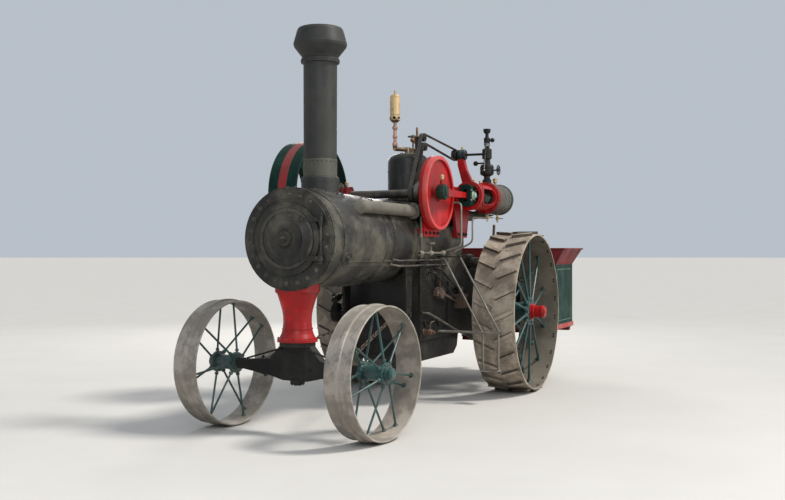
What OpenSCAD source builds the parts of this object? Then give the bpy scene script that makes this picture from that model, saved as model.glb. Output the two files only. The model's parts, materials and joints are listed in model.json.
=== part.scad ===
// Steam traction engine with a locomotive boiler, a side crank engine on the left
// and geared rear drive on the right. X points forward, Y to the engine's left, Z up.
// The origin is on the ground, under the middle of the machine's length and width.

/* [Whole machine] */
// Distance between the rear and front axles
wheelbase = 3170; // [3000:10:3400]
// Angle that the front axle is turned to the right as parked
parked_turn = 6.5; // [0:0.5:10]
// Running gap round shafts and pins
run_gap = 0.3; // [0.2:0.1:0.6]
// Gap between faces that slide past each other
slide_gap = 2; // [1:0.5:4]

/* [Boiler] */
// Radius of the boiler barrel
boiler_r = 400; // [385:1:405]
// Height of the boiler's centre line
boiler_z = 1610; // [1600:5:1640]
// Back face of the boiler, ahead of the rear axle
backhead_x = 330; // [320:5:350]
// Front of the firebox, ahead of the rear axle
firebox_front = 1480; // [1400:10:1500]
// Width of the firebox below the barrel
firebox_w = 770; // [740:5:780]
// Height of the firebox's bottom edge
firebox_z = 640; // [620:5:680]
// Thickness of the water space round the fire
water_leg = 85; // [70:5:100]
// Height of the roof of the fire space
crown_z = 1820; // [1815:5:1840]
// Radius of the fire hole
fire_hole_r = 140; // [120:5:145]
// Height of the fire hole's centre
fire_hole_z = 1660; // [1650:5:1670]
// Thickness of the straps round the barrel
strap_t = 5; // [3:1:8]

/* [Smokebox and stack] */
// Radius of the smokebox
smokebox_r = 415; // [410:1:425]
// Length of the smokebox
smokebox_len = 1020; // [980:10:1050]
// How far the smokebox face is ahead of the front axle
smokebox_nose = 150; // [100:5:180]
// Thickness of the smokebox sheet
sheet_t = 12; // [8:1:16]
// Radius of the smokebox door
door_r = 300; // [280:5:310]
// Radius of the stack's body at its foot
stack_r = 143; // [130:1:150]
// Height of the stack's top
stack_top = 3440; // [3300:10:3500]
// Wall of the stack
stack_wall = 12; // [8:1:20]
// How far the stack is behind the smokebox face
stack_back = 540; // [500:5:600]

/* [Dome] */
// Radius of the steam dome
dome_r = 210; // [190:5:220]
// Height of the dome's shoulder
dome_shoulder = 2430; // [2400:5:2460]
// Distance of the dome ahead of the rear axle
dome_x = 900; // [880:5:920]

/* [Front wheels] */
// Radius of the front wheel over its centre rib
front_r = 548; // [520:1:550]
// Width of the front rim
front_w = 240; // [200:5:250]
// Distance between the middles of the front wheels
front_track = 1520; // [1500:5:1560]
// Number of spokes in each row of a front wheel
front_spokes = 7; // [6:1:9]
// Height of the rib round the front tread
rib_h = 13; // [8:1:16]

/* [Rear wheels] */
// Radius of the rear rim
rear_r = 830; // [800:1:840]
// Width of the rear rim
rear_w = 450; // [420:5:460]
// Distance between the middles of the rear wheels
rear_track = 1800; // [1800:5:1840]
// Height of the lugs on the rear rim
lug_h = 30; // [20:1:36]
// Number of lugs in each row
lug_count = 24; // [20:2:28]
// Slant of the lugs, from a line straight across the rim
lug_slant = 26; // [15:1:28]
// Number of spokes in each row of a rear wheel
rear_spokes = 12; // [10:1:13]
// Thickness of the rims
rim_t = 16; // [12:1:20]

/* [Engine] */
// Distance of the crankshaft ahead of the rear axle
crank_x = 1360; // [1340:5:1380]
// Height of the crankshaft
crank_z = 2075; // [2070:5:2100]
// Radius of the crankshaft
shaft_r = 42; // [38:1:46]
// Half of the piston's stroke
throw_r = 140; // [120:5:150]
// Length of the connecting rod between its pins
rod_len = 700; // [680:5:720]
// Distance of the engine's centre line to the left of the boiler's
engine_y = 620; // [615:1:630]
// Radius of the crank disc
disc_r = 360; // [340:5:365]
// Outer radius of the cylinder's jacket
cylinder_r = 170; // [160:2:180]
// Length of the cylinder
cylinder_len = 460; // [440:10:500]
// Outer radius of the trunk guide
guide_r = 150; // [145:1:155]
// Length of the trunk guide
guide_len = 515; // [500:5:560]
// Distance of the governor belt's plane to the left of the boiler's centre line
belt_y = 255; // [250:5:260]

/* [Flywheel] */
// Radius of the flywheel
flywheel_r = 555; // [530:5:560]
// Width of the flywheel's rim
flywheel_w = 313; // [280:1:320]
// Distance of the flywheel's middle to the right of the boiler's centre line
flywheel_y = 910; // [905:1:925]

/* [Gears] */
// Tooth size of the upper gears
upper_module = 12; // [12:1:12]
// Teeth of the crank pinion
pinion_teeth = 20; // [20:1:22]
// Teeth of the intermediate gear
idle_teeth = 58; // [58:1:60]
// Teeth of the gear on the countershaft
main_teeth = 84; // [82:1:84]
// Tooth size of the final drive gears
final_module = 14; // [14:1:14]
// Teeth of the pinions that drive the wheels
bull_pinion_teeth = 15; // [14:1:15]
// Teeth of the gears on the rear wheels
bull_teeth = 70; // [68:1:70]
// Angle of the countershaft above the rear axle, from level
counter_angle = 65; // [64:1:68]

/* [Platform and bunker] */
// Height of the platform's top
deck_z = 975; // [950:5:1000]
// Front of the bunker, behind the rear axle
bunker_front = 950; // [930:10:1000]
// Back of the bunker, behind the rear axle
bunker_back = 1700; // [1600:10:1800]
// Width of the bunker
bunker_w = 2120; // [2000:10:2140]
// Height of the bunker's floor
bunker_z = 600; // [590:5:620]
// Height of the bunker's green sides above the floor
bunker_h = 750; // [700:10:800]
// Height of the flared top rail
flare_h = 190; // [150:10:200]
// How far the flared top leans out
flare_out = 100; // [60:5:110]
// Radius of the hole for the drawbar pin
hitch_r = 22; // [18:1:26]

/* [Hidden] */
$fn = 96;

// Wheels and axles
front_z = front_r;
rear_z = rear_r + lug_h;
axle_r = 55;
stub_r = 32;
hub_in = rear_w / 2 - 55;
hub_out = rear_w / 2 - 70;
hub_r = 95;
cap_len = 150;
cap_r = 64;
kingpin_r = 32;
beam_half = front_track / 2 - 145;
beam_t = 80;
front_hub_half = 130;
front_hub_r = 62;

// Place of the rear axle, so that the origin is under the middle of the length
hitch_back = 50;
hitch_x = bunker_back + flare_out + hitch_r + 18 + hitch_back;
front_reach = wheelbase + (front_track + front_w) / 2 * sin(parked_turn) + front_r * cos(parked_turn);
rear_x = (hitch_x - front_reach) / 2;

// Smokebox
face_x = wheelbase + smokebox_nose;
smokebox_back = face_x - smokebox_len;
stack_x = face_x - stack_back;
door_hole_r = door_r - 25;
hinge_y = door_r + 18;
hinge_x = face_x + 30;
hinge_pin_r = 9;
strap_z = 157;

// Fire door
fire_hinge = [backhead_x - 24, fire_hole_r + 50];
fire_knuckle = 150;
fire_pin_r = 6;

// Dome and what stands on it
dome_crown = 80;
dome_top = dome_shoulder + dome_crown;
whistle_at = [dome_x + 130, -90];

// Engine
disc_y = 470;
disc_t = 80;
pin_x = crank_x + throw_r;
wrist_x = pin_x - rod_len;
guide_front = wrist_x - 20;
guide_back = guide_front - guide_len;
guide_bore = guide_r - 35;
cylinder_back = guide_back - cylinder_len;
rod_t = 40;
piston_rod_r = 22;
rod_depth = 2 * throw_r + 80;
belt_t = 5;
shaft_pulley_r = 80;
idler_r = 40;
idler_up = [dome_x + 211, 2652];
idler_low = [dome_x + 186, 2561];
gov_pulley_r = 56;
gov_pulley = [guide_back - 58, 2552];
gov_shaft_r = 13;
chest_top = crank_z + 130;
main_bearing_len = 108;
eccentric_y = 320;

// Gears
upper_plane = 580;
upper_face = 80;
final_plane = rear_track / 2 - rear_w / 2 + 5;
final_face = 100;
pinion_r = pinion_teeth * upper_module / 2;
idle_r = idle_teeth * upper_module / 2;
main_r = main_teeth * upper_module / 2;
bull_r = bull_teeth * final_module / 2;
bull_pinion_r = bull_pinion_teeth * final_module / 2;
counter_d = bull_r + bull_pinion_r;
counter = [counter_d * cos(counter_angle), rear_z + counter_d * sin(counter_angle)];
counter_r = 40;
idle = meet([crank_x, crank_z], counter, pinion_r + idle_r, idle_r + main_r);
stud_r = 38;

// Platform
plate_t = 20;
plate_y = firebox_w / 2;
beam_z = bunker_z - 70;
beam_in = 275;
deck_t = 25;
bunker_t = 12;

// Steering
roller_x = firebox_front + 170;
roller_z = 905;
spool_y = 140;
spool_r = 60;
worm_y = firebox_w / 2 + 55;
eye_y = 420;
eye_back = 75;
eye_r = 24;
chain_pitch = 78;
chain_wire = 11;
worm_wheel_r = 95;
steer_rise = 18.5;
eye_z = front_z + 35;

// Point that lies at distance a from p and at distance b from q, on the lower side
function meet(p, q, a, b) =
    let (v = q - p, d = norm(v), along = (a * a - b * b + d * d) / (2 * d))
    let (side = sqrt(a * a - along * along))
    p + v / d * along + [-v[1], v[0]] / d * side;

// Direction from p to q, in degrees
function heading(p, q) = atan2(q[1] - p[1], q[0] - p[0]);

// Turn of the next gear, which meshes with one of n_a teeth that is turned by turn_a
function mesh_turn(dir, turn_a, n_a, n_b) =
    dir + 180 - (0.5 - (dir - turn_a) * n_a / 360) * 360 / n_b;

// Height of a round barrel's surface above its axis, at a distance from its middle
function chord(r, y) = sqrt(r * r - y * y);

pinion_turn = heading([crank_x, crank_z], idle);
idle_turn = mesh_turn(pinion_turn, pinion_turn, pinion_teeth, idle_teeth);
main_turn = mesh_turn(heading(idle, counter), idle_turn, idle_teeth, main_teeth);
bull_dir = heading([0, rear_z], counter);
bull_pinion_turn = mesh_turn(bull_dir, bull_dir, bull_teeth, bull_pinion_teeth);

// Everything is placed from the rear axle's middle
module on_engine() {
    translate([rear_x, 0, 0]) children();
}

// The front axle's own frame, turned as parked
module on_front_axle() {
    on_engine() translate([wheelbase, 0, 0]) rotate([0, 0, -parked_turn]) children();
}

// Round bar along X
module along_x(x0, x1, r, y = 0, z = boiler_z) {
    translate([x0, y, z]) rotate([0, 90, 0]) cylinder(h = x1 - x0, r = r);
}

// Round bar along Y
module along_y(y0, y1, r, x = 0, z = 0) {
    translate([x, y0, z]) rotate([-90, 0, 0]) cylinder(h = y1 - y0, r = r);
}

// Round bar between two points
module bar(p, q, r) {
    v = q - p;
    translate(p) rotate([0, acos(v[2] / norm(v)), atan2(v[1], v[0])]) cylinder(h = norm(v), r = r);
}

// Plate whose outline is drawn in X and Z, from y0 to y1
module upright(y0, y1) {
    translate([0, y1, 0]) rotate([90, 0, 0]) linear_extrude(height = y1 - y0) children();
}

// Plate whose outline is drawn in Y and Z, from x0 to x1
module crosswise(x0, x1) {
    translate([x0, 0, 0]) rotate([90, 0, 90]) linear_extrude(height = x1 - x0) children();
}

// Block from one corner to the other
module block(p, q) {
    translate(p) cube(q - p);
}

// Mirrored copy on the right, as well as the one on the left
module both_sides() {
    children();
    mirror([0, 1, 0]) children();
}

// Outline of a spur gear with a tooth pointing along X
module gear_outline(teeth, size) {
    step = 360 / teeth;
    tip = (teeth / 2 + 0.85) * size;
    root = (teeth / 2 - 1.1) * size;
    // Each row is a radius and how far round the tooth's pitch it lies
    flank = [[root, -0.33], [tip, -0.12], [tip, 0.12], [root, 0.33]];
    polygon([
        for (i = [0 : teeth - 1]) for (f = flank)
            let (a = (i + f[1]) * step) f[0] * [cos(a), sin(a)]
    ]);
}

// Spoked spur gear with its face along Y
module gear(centre, plane, face, teeth, size, turn, boss_r, bore, arms) {
    rim_in = (teeth / 2 - 3.2) * size;
    translate([centre[0], plane, centre[1]]) difference() {
        union() {
            upright(-face / 2, face / 2) rotate(turn) difference() {
                gear_outline(teeth, size);
                circle(r = rim_in);
            }
            along_y(-face / 2, face / 2, boss_r);
            for (i = [0 : arms - 1])
                rotate([0, i * 360 / arms + 15, 0])
                    block([boss_r - 10, -face / 5, -22], [rim_in + 5, face / 5, 22]);
        }
        along_y(-face, face, bore);
    }
}

// Outside of the barrel and the firebox
module boiler_form() {
    along_x(backhead_x, smokebox_back, boiler_r);
    block([backhead_x, -firebox_w / 2, firebox_z], [firebox_front, firebox_w / 2, boiler_z]);
}

module boiler() {
    leg_y = firebox_w / 2 - water_leg;
    color("#2e2f2d") on_engine() difference() {
        union() {
            boiler_form();
            for (x = [firebox_front + 15, smokebox_back - 240])
                along_x(x, x + 40, boiler_r + strap_t);
        }
        block([backhead_x + water_leg, -leg_y, firebox_z - 10], [firebox_front - water_leg, leg_y, crown_z]);
        along_x(backhead_x - 10, backhead_x + water_leg + 10, fire_hole_r, 0, fire_hole_z);
    }
}

// Outside of the smokebox with its bands
module smokebox_form() {
    along_x(smokebox_back, face_x, smokebox_r);
    along_x(face_x - 240, face_x - 195, smokebox_r + 6);
    along_x(face_x - 45, face_x - 12, smokebox_r + 12);
}

module smokebox() {
    color("#343532") on_engine() difference() {
        smokebox_form();
        along_x(smokebox_back + sheet_t, face_x - 20, smokebox_r - sheet_t);
        along_x(face_x - 30, face_x + 10, door_hole_r);
        translate([stack_x, 0, boiler_z]) cylinder(h = smokebox_r + 20, r = stack_r - stack_wall);
    }
}

module smokebox_door() {
    // Rows are a radius and a distance in front of the smokebox face
    profile = [
        [0, 8], [door_r - 55, 8], [door_r - 45, 0.5], [door_r, 0.5], [door_r, 22], [door_r - 40, 30],
        [door_r - 60, 26], [180, 48], [165, 60], [150, 50], [85, 40], [70, 56], [62, 78], [30, 84],
        [22, 96], [0, 96]
    ];
    color("#2a2b2a") on_engine() {
        difference() {
            union() {
                translate([face_x, 0, boiler_z]) rotate([0, 90, 0]) rotate_extrude() polygon(profile);
                for (s = [-1, 1]) {
                    block([face_x + 14, 120, boiler_z + s * strap_z - 20],
                        [face_x + 44, hinge_y, boiler_z + s * strap_z + 20]);
                    translate([hinge_x, hinge_y, boiler_z + s * strap_z - 20])
                        cylinder(h = 40, r = 18);
                }
            }
            translate([hinge_x, hinge_y, boiler_z - 300]) cylinder(h = 600, r = hinge_pin_r + run_gap);
        }
    }
}

module door_hinge() {
    color("#2a2b2a") on_engine() {
        translate([hinge_x, hinge_y, boiler_z - strap_z - 52])
            cylinder(h = 2 * strap_z + 104, r = hinge_pin_r);
        for (s = [-1, 1]) for (t = [-1, 1])
            block([face_x, hinge_y - 12, boiler_z + s * strap_z + t * 34 - 12],
                [hinge_x + 12, hinge_y + 12, boiler_z + s * strap_z + t * 34 + 12]);
        // Pin and lugs of the fire door
        translate([fire_hinge[0], fire_hinge[1], fire_hole_z - fire_knuckle / 2 - 20])
            cylinder(h = fire_knuckle + 40, r = fire_pin_r);
        for (s = [-1, 1])
            let (z = fire_hole_z + s * (fire_knuckle / 2 + 11))
                block([fire_hinge[0] - 12, fire_hinge[1] - 12, z - 9],
                    [backhead_x, fire_hinge[1] + 12, z + 9]);
    }
}

module stack() {
    bore = stack_r - stack_wall;
    // Rows are a radius and a height below the stack's top
    outside = [
        [stack_r + 22, -1500], [stack_r + 22, -1300], [stack_r + 12, -1290], [stack_r, -1285],
        [stack_r + 3, -312], [stack_r + 22, -306], [stack_r + 24, -272], [stack_r + 12, -264],
        [stack_r + 20, -246], [stack_r + 40, -222], [stack_r + 84, -165], [stack_r + 90, -142],
        [stack_r + 84, -118], [stack_r + 58, -24], [stack_r + 46, -5], [stack_r + 34, 0]
    ];
    color("#3a3b39") on_engine() difference() {
        translate([stack_x, 0, stack_top]) rotate_extrude()
            polygon(concat(outside, [[bore, 0], [bore, -1500]]));
        along_x(smokebox_back - 10, face_x + 10, smokebox_r);
    }
}

// Outside of the dome, standing on the boiler's centre line
module dome_form() {
    base = boiler_r - 120;
    shoulder = dome_shoulder - boiler_z;
    edge = 90;
    translate([dome_x, 0, boiler_z]) rotate_extrude() polygon(concat(
        [[0, base], [dome_r + 25, base], [dome_r + 25, base + 145], [dome_r, base + 150]],
        [for (a = [0 : 15 : 90]) [dome_r - edge + edge * cos(a), shoulder + dome_crown * sin(a)]],
        [[0, shoulder + dome_crown]]));
}

module steam_dome() {
    color("#343532") on_engine() difference() {
        dome_form();
        along_x(backhead_x - 10, smokebox_back, boiler_r);
    }
}

module whistle() {
    pipe_z = dome_top + 52;
    color("#b88d3c") on_engine() {
        translate([dome_x, 0, dome_top]) cylinder(h = 70, r = 30);
        bar([dome_x, 0, pipe_z], [whistle_at[0], whistle_at[1], pipe_z], 16);
        translate([whistle_at[0], whistle_at[1], pipe_z]) {
            sphere(r = 22);
            cylinder(h = 300, r = 16);
            translate([0, 0, 270]) rotate_extrude() polygon([
                [0, 0], [28, 0], [50, 25], [50, 60], [44, 64], [44, 80], [52, 80], [52, 270], [40, 284],
                [12, 288], [10, 330], [0, 330]
            ]);
        }
    }
}

module safety_valve() {
    color("#8f6a45") on_engine() difference() {
        translate([dome_x - 15, 95, dome_top - 22]) rotate_extrude() polygon([
            [0, 0], [32, 0], [32, 60], [24, 70], [24, 130], [34, 140], [34, 200], [20, 215], [12, 220],
            [12, 300], [0, 300]
        ]);
        dome_form();
    }
}

module dome_valve() {
    color("#6d675d") on_engine() difference() {
        translate([dome_x - 130, 0, dome_top - 40]) {
            cylinder(h = 110, r = 26);
            cylinder(h = 260, r = 10);
            translate([0, 0, 240]) rotate_extrude() translate([50, 0]) circle(r = 8, $fn = 8);
            for (a = [0 : 60 : 120])
                rotate([0, 0, a]) block([-50, -4, 235], [50, 4, 245]);
        }
        dome_form();
    }
}

module ash_pan() {
    half = firebox_w / 2 - 40;
    color("#262624") on_engine() upright(-half, half) polygon([
        [backhead_x + 20, firebox_z], [firebox_front - 10, firebox_z], [firebox_front - 30, 470],
        [firebox_front - 110, 430], [backhead_x + 160, 430], [backhead_x + 60, 500]
    ]);
}

module grate() {
    half = firebox_w / 2 - water_leg - 4;
    bars = 12;
    color("#3c3835") on_engine() {
        for (x = [backhead_x + water_leg + 4, firebox_front - water_leg - 44])
            block([x, -half, firebox_z], [x + 40, half, firebox_z + 30]);
        for (i = [0 : bars - 1]) {
            y = -half + i * (2 * half - 20) / (bars - 1);
            block([backhead_x + water_leg + 4, y, firebox_z],
                [firebox_front - water_leg - 4, y + 20, firebox_z + 30]);
        }
    }
}

module fire_door() {
    plate = fire_hole_r + 25;
    // Rows are a radius and a distance behind the backhead
    profile = [
        [0, run_gap], [plate, run_gap], [plate, 16], [plate - 30, 20], [plate - 55, 32],
        [plate - 80, 38], [0, 42]
    ];
    color("#2f2e2c") on_engine() {
        difference() {
            union() {
                translate([backhead_x, 0, fire_hole_z]) rotate([0, -90, 0]) rotate_extrude()
                    polygon(profile);
                for (z = [fire_hole_z - 70, fire_hole_z + 45])
                    block([fire_hinge[0] - 12, -60, z], [fire_hinge[0] + 10, fire_hinge[1], z + 25]);
                translate([fire_hinge[0], fire_hinge[1], fire_hole_z - fire_knuckle / 2])
                    cylinder(h = fire_knuckle, r = fire_pin_r + 7);
            }
            translate([fire_hinge[0], fire_hinge[1], fire_hole_z - fire_knuckle])
                cylinder(h = 2 * fire_knuckle, r = fire_pin_r + run_gap);
        }
        bar([backhead_x - 20, -110, fire_hole_z], [backhead_x - 84, -110, fire_hole_z], 9);
        translate([backhead_x - 84, -110, fire_hole_z]) sphere(r = 18, $fn = 32);
    }
}

module exhaust_pipe() {
    r = 56;
    y = 362;
    z = 1895;
    front = smokebox_back + 380;
    back = guide_back - 240;
    color("#5d594f") on_engine() {
        difference() {
            union() {
                along_x(back, front, r, y, z);
                along_x(1600, 1640, r + 22, y, z);
                translate([front, y, z]) sphere(r = r);
                bar([front, y, z], [front + 60, 240, z - 60], r);
                bar([back, y, z], [back, engine_y, z + 40], r - 12);
                translate([back, y, z]) sphere(r = r);
            }
            along_x(smokebox_back, face_x, smokebox_r);
            along_x(backhead_x - 50, smokebox_back + 1, boiler_r + strap_t);
            along_x(cylinder_back, guide_back + 60, cylinder_r, engine_y, crank_z);
        }
    }
}

module side_pipes() {
    y = firebox_w / 2 + 49;
    drop = crank_x + 215;
    low = 1490;
    high = 1840;
    color("#4a4a45") on_engine() {
        bar([drop, y, high], [drop, y, low], 11);
        bar([drop, y, low], [980, y, low], 11);
        for (x = [drop, 1330, 1010])
            translate([x, y, low]) sphere(r = 24);
        bar([1330, y, low], [1330, y, low + 70], 9);
        for (x = [1280, 1060])
            along_y(firebox_w / 2, y + 4, 10, x, low);
    }
}

module feed_pump() {
    side = firebox_w / 2;
    out = side + 45;
    color("#6b5040") on_engine() {
        block([450, side + plate_t, 910], [620, side + plate_t + 80, 1060]);
        along_y(side, side + 60, 60, 1050, 1090);
        block([960, side, 1060], [1150, out, 1120]);
        bar([620, out, 985], [1050, out, 1090], 14);
        bar([1050, side + 30, 1090], [1050, side + 30, 1380], 11);
        translate([535, side + plate_t + 40, 1060]) cylinder(h = 70, r = 26);
    }
}

module front_pedestal() {
    foot = front_z + 212;
    socket_r = kingpin_r + run_gap;
    // Rows are a radius and a height above the foot
    outside = [
        [168, 0], [168, 24], [150, 34], [132, 70], [122, 115], [118, 165], [120, 215], [128, 265],
        [142, 315], [158, 365], [170, 400], [186, 412], [186, 540]
    ];
    color("#c0202a") on_engine() difference() {
        translate([wheelbase, 0, foot]) rotate_extrude()
            polygon(concat(outside, [[0, 540], [0, 200], [socket_r, 200], [socket_r, 0]]));
        smokebox_form();
        block([face_x - 14, -200, foot + 60], [face_x + 200, 200, boiler_z]);
    }
}

module front_axle() {
    top = front_z + 210;
    color("#232423") on_front_axle() difference() {
        union() {
            crosswise(-beam_t / 2, beam_t / 2) polygon([
                [-beam_half, front_z - 32], [-260, front_z - 80], [-120, front_z - 112],
                [120, front_z - 112], [260, front_z - 80], [beam_half, front_z - 32],
                [beam_half, front_z + 32], [260, front_z + 62], [150, top - 30], [-150, top - 30],
                [-260, front_z + 62], [-beam_half, front_z + 32]
            ]);
            translate([0, 0, top - 36]) cylinder(h = 36, r = 150);
            translate([0, 0, front_z - 150]) cylinder(h = top + 180 - front_z + 150, r = kingpin_r);
            translate([0, 0, front_z - 140]) cylinder(h = 40, r = 60);
            for (s = [-1, 1]) {
                along_y(s > 0 ? beam_half - 5 : -front_track / 2 - front_hub_half - 24,
                    s > 0 ? front_track / 2 + front_hub_half + 24 : -beam_half + 5, stub_r, 0, front_z);
                along_y(s * (beam_half - 30) - 30, s * (beam_half - 30) + 30, 48, 0, front_z);
                translate([-eye_back, s * eye_y, eye_z - 12]) cylinder(h = 24, r = eye_r);
                block([-eye_back, s * eye_y - 14, eye_z - 12], [0, s * eye_y + 14, eye_z + 12]);
            }
        }
        for (s = [-1, 1])
            translate([-eye_back, s * eye_y, eye_z - 20]) cylinder(h = 40, r = 11);
    }
}

// Rim of a front wheel, about its own axle along Y
module front_rim() {
    rim_out = front_r - rib_h;
    w = front_w / 2;
    rotate([-90, 0, 0]) rotate_extrude($fn = 96) polygon([
        [rim_out - rim_t + 4, -w], [rim_out, -w], [rim_out, -20], [front_r, -14], [front_r, 14],
        [rim_out, 20], [rim_out, w], [rim_out - rim_t + 4, w]
    ]);
}

// Hub and spokes of a front wheel, about its own axle along Y
module front_spokes_hub() {
    inner = front_r - rib_h - rim_t + 4 - run_gap;
    spoke_r = 9;
    difference() {
        union() {
            along_y(-front_hub_half, front_hub_half, front_hub_r);
            for (y = [-100, 100])
                along_y(y - 14, y + 14, front_hub_r + 28);
            along_y(front_hub_half - 5, front_hub_half + 36, front_hub_r - 14);
            intersection() {
                union() for (row = [-1, 1]) for (i = [0 : front_spokes - 1])
                    let (a = (i + (row + 1) / 4) * 360 / front_spokes, r = inner + 8)
                        bar([70 * cos(a), row * 100, 70 * sin(a)],
                            [r * cos(a + row * 8), row * 30, r * sin(a + row * 8)], spoke_r);
                along_y(-front_w / 2, front_w / 2, inner);
            }
        }
        along_y(-front_hub_half - 1, front_hub_half + 26, stub_r + run_gap);
    }
}

module place_front_wheel(s) {
    on_front_axle() translate([0, s * front_track / 2, front_z])
        scale([1, s, 1]) children();
}

module front_rim_left() {
    color("#8d857b") place_front_wheel(1) front_rim();
}

module front_rim_right() {
    color("#8d857b") place_front_wheel(-1) front_rim();
}

module front_spokes_left() {
    color("#26504a") place_front_wheel(1) front_spokes_hub();
}

module front_spokes_right() {
    color("#26504a") place_front_wheel(-1) front_spokes_hub();
}

module rear_axle() {
    end = rear_track / 2 + hub_out + 6;
    color("#343533") on_engine() {
        along_y(-end, end, axle_r, 0, rear_z);
        both_sides() along_y(plate_y + plate_t, upper_plane - upper_face / 2 - 12, axle_r + 32, 0, rear_z);
    }
}

// Rim of a rear wheel with its two rows of slanted lugs, about its own axle along Y
module rear_rim() {
    w = rear_w / 2;
    lug_len = rear_w * 0.47;
    step = 360 / lug_count;
    rotate([-90, 0, 0]) rotate_extrude($fn = 120)
        polygon([[rear_r - rim_t, -w], [rear_r, -w], [rear_r, w], [rear_r - rim_t, w]]);
    // Columns are the row's middle across the rim, its slant and its stagger in lugs
    rows = [[w * 0.5, -1, 0], [-w * 0.5, 1, 0.5]];
    for (row = rows) for (i = [0 : lug_count - 1])
        rotate([0, (i + row[2]) * step, 0]) translate([0, row[0], -rear_r])
            rotate([0, 0, row[1] * lug_slant])
                translate([0, lug_len / 2, 0]) rotate([90, 0, 0]) linear_extrude(height = lug_len)
                    polygon([[-17, -lug_h], [17, -lug_h], [22, 8], [-22, 8]]);
}

// Hub and spokes of a rear wheel, about its own axle along Y
module rear_spokes_hub() {
    inner = rear_r - rim_t - run_gap;
    spoke_r = 13;
    flanges = [-hub_in + 36, hub_out - 24];
    difference() {
        union() {
            along_y(-hub_in, hub_out, hub_r);
            for (y = flanges)
                along_y(y - 18, y + 18, hub_r + 26);
            intersection() {
                union() for (row = [-1, 1]) for (i = [0 : rear_spokes - 1])
                    let (a = (i + (row + 1) / 4) * 360 / rear_spokes, r = inner + 10)
                        bar([hub_r * cos(a), flanges[(row + 1) / 2], hub_r * sin(a)],
                            [r * cos(a), row * 60, r * sin(a)], spoke_r);
                along_y(-rear_w / 2, rear_w / 2 + 8, inner);
            }
        }
        along_y(-hub_in - 10, hub_out + 10, axle_r + run_gap);
    }
}

module hub_cap() {
    difference() {
        union() {
            along_y(hub_out, hub_out + 14, hub_r - 8);
            along_y(hub_out, hub_out + cap_len - 10, cap_r);
            along_y(hub_out, hub_out + cap_len, cap_r - 10);
        }
        along_y(hub_out - 10, hub_out + 12, axle_r + run_gap);
    }
}

module place_rear_wheel(s) {
    on_engine() translate([0, s * rear_track / 2, rear_z]) scale([1, s, 1]) children();
}

module rear_rim_left() {
    color("#8a7f73") place_rear_wheel(1) rear_rim();
}

module rear_rim_right() {
    color("#8a7f73") place_rear_wheel(-1) rear_rim();
}

module rear_spokes_left() {
    color("#26504a") place_rear_wheel(1) rear_spokes_hub();
}

module rear_spokes_right() {
    color("#26504a") place_rear_wheel(-1) rear_spokes_hub();
}

module hub_cap_left() {
    color("#b8222b") place_rear_wheel(1) hub_cap();
}

module hub_cap_right() {
    color("#b8222b") place_rear_wheel(-1) hub_cap();
}

module bull_gear(s) {
    on_engine() gear([0, rear_z], s * final_plane, final_face, bull_teeth, final_module, bull_dir,
        hub_r + 20, axle_r + run_gap, 6);
}

module bull_gear_left() {
    color("#3a3634") bull_gear(1);
}

module bull_gear_right() {
    color("#3a3634") bull_gear(-1);
}

module side_plates() {
    color("#2b2c2b") on_engine() both_sides() difference() {
        union() {
            upright(plate_y, plate_y + plate_t) polygon([
                [firebox_front - 700, 760], [firebox_front - 700, 1200], [counter[0] + 130, 1480],
                [counter[0] - 100, 1480], [-110, 1180], [-280, 1000], [-280, beam_z], [60, beam_z]
            ]);
            along_y(plate_y, plate_y + 90, counter_r + 34, counter[0], counter[1]);
        }
        along_y(plate_y - 10, plate_y + 100, counter_r + run_gap, counter[0], counter[1]);
        along_y(plate_y - 10, plate_y + plate_t + 10, axle_r, 0, rear_z);
    }
}

module countershaft() {
    end = final_plane + final_face / 2 + 6;
    color("#4a4845") on_engine() {
        along_y(-end, end, counter_r, counter[0], counter[1]);
        for (s = [-1, 1])
            translate([counter[0], 0, counter[1]])
                upright(s * final_plane - final_face / 2, s * final_plane + final_face / 2)
                    rotate(bull_pinion_turn) gear_outline(bull_pinion_teeth, final_module);
    }
}

module main_gear() {
    color("#3a3634") on_engine() gear(counter, -upper_plane, upper_face, main_teeth, upper_module,
        main_turn, 120, counter_r, 6);
}

module intermediate_gear() {
    color("#3a3634") on_engine() gear(idle, -upper_plane, upper_face, idle_teeth, upper_module,
        idle_turn, 85, stud_r + run_gap, 5);
}

module gear_stud() {
    inner = chord(boiler_r, idle[1] - boiler_z);
    face = upper_plane - upper_face / 2;
    foot = boiler_r + 40;
    color("#2b2c2b") on_engine() {
        difference() {
            block([idle[0] - 150, -foot, boiler_z + 10], [idle[0] + 150, 60 - inner, idle[1] + 110]);
            boiler_form();
        }
        along_y(-face + slide_gap, -foot, 80, idle[0], idle[1]);
        along_y(-face - upper_face - 24, -face + slide_gap, stud_r, idle[0], idle[1]);
        along_y(-face - upper_face - 24, -face - upper_face - slide_gap, 52, idle[0], idle[1]);
    }
}

module crankshaft() {
    color("#55524e") on_engine() {
        along_y(-flywheel_y - flywheel_w / 2 - 20, disc_y, shaft_r, crank_x, crank_z);
        along_y(belt_y - 26, belt_y + 26, shaft_pulley_r, crank_x, crank_z);
        translate([crank_x, 0, crank_z])
            upright(-upper_plane - upper_face / 2, -upper_plane + upper_face / 2)
                rotate(pinion_turn) gear_outline(pinion_teeth, upper_module);
    }
}

module crank_disc() {
    color("#c0202a") on_engine() {
        along_y(disc_y, disc_y + disc_t - 20, disc_r, crank_x, crank_z);
        difference() {
            along_y(disc_y + disc_t - 20, disc_y + disc_t, disc_r, crank_x, crank_z);
            along_y(disc_y + disc_t - 20, disc_y + disc_t + 10, disc_r - 36, crank_x, crank_z);
        }
        along_y(disc_y + disc_t - 20, disc_y + disc_t, 85, crank_x, crank_z);
    }
}

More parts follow.
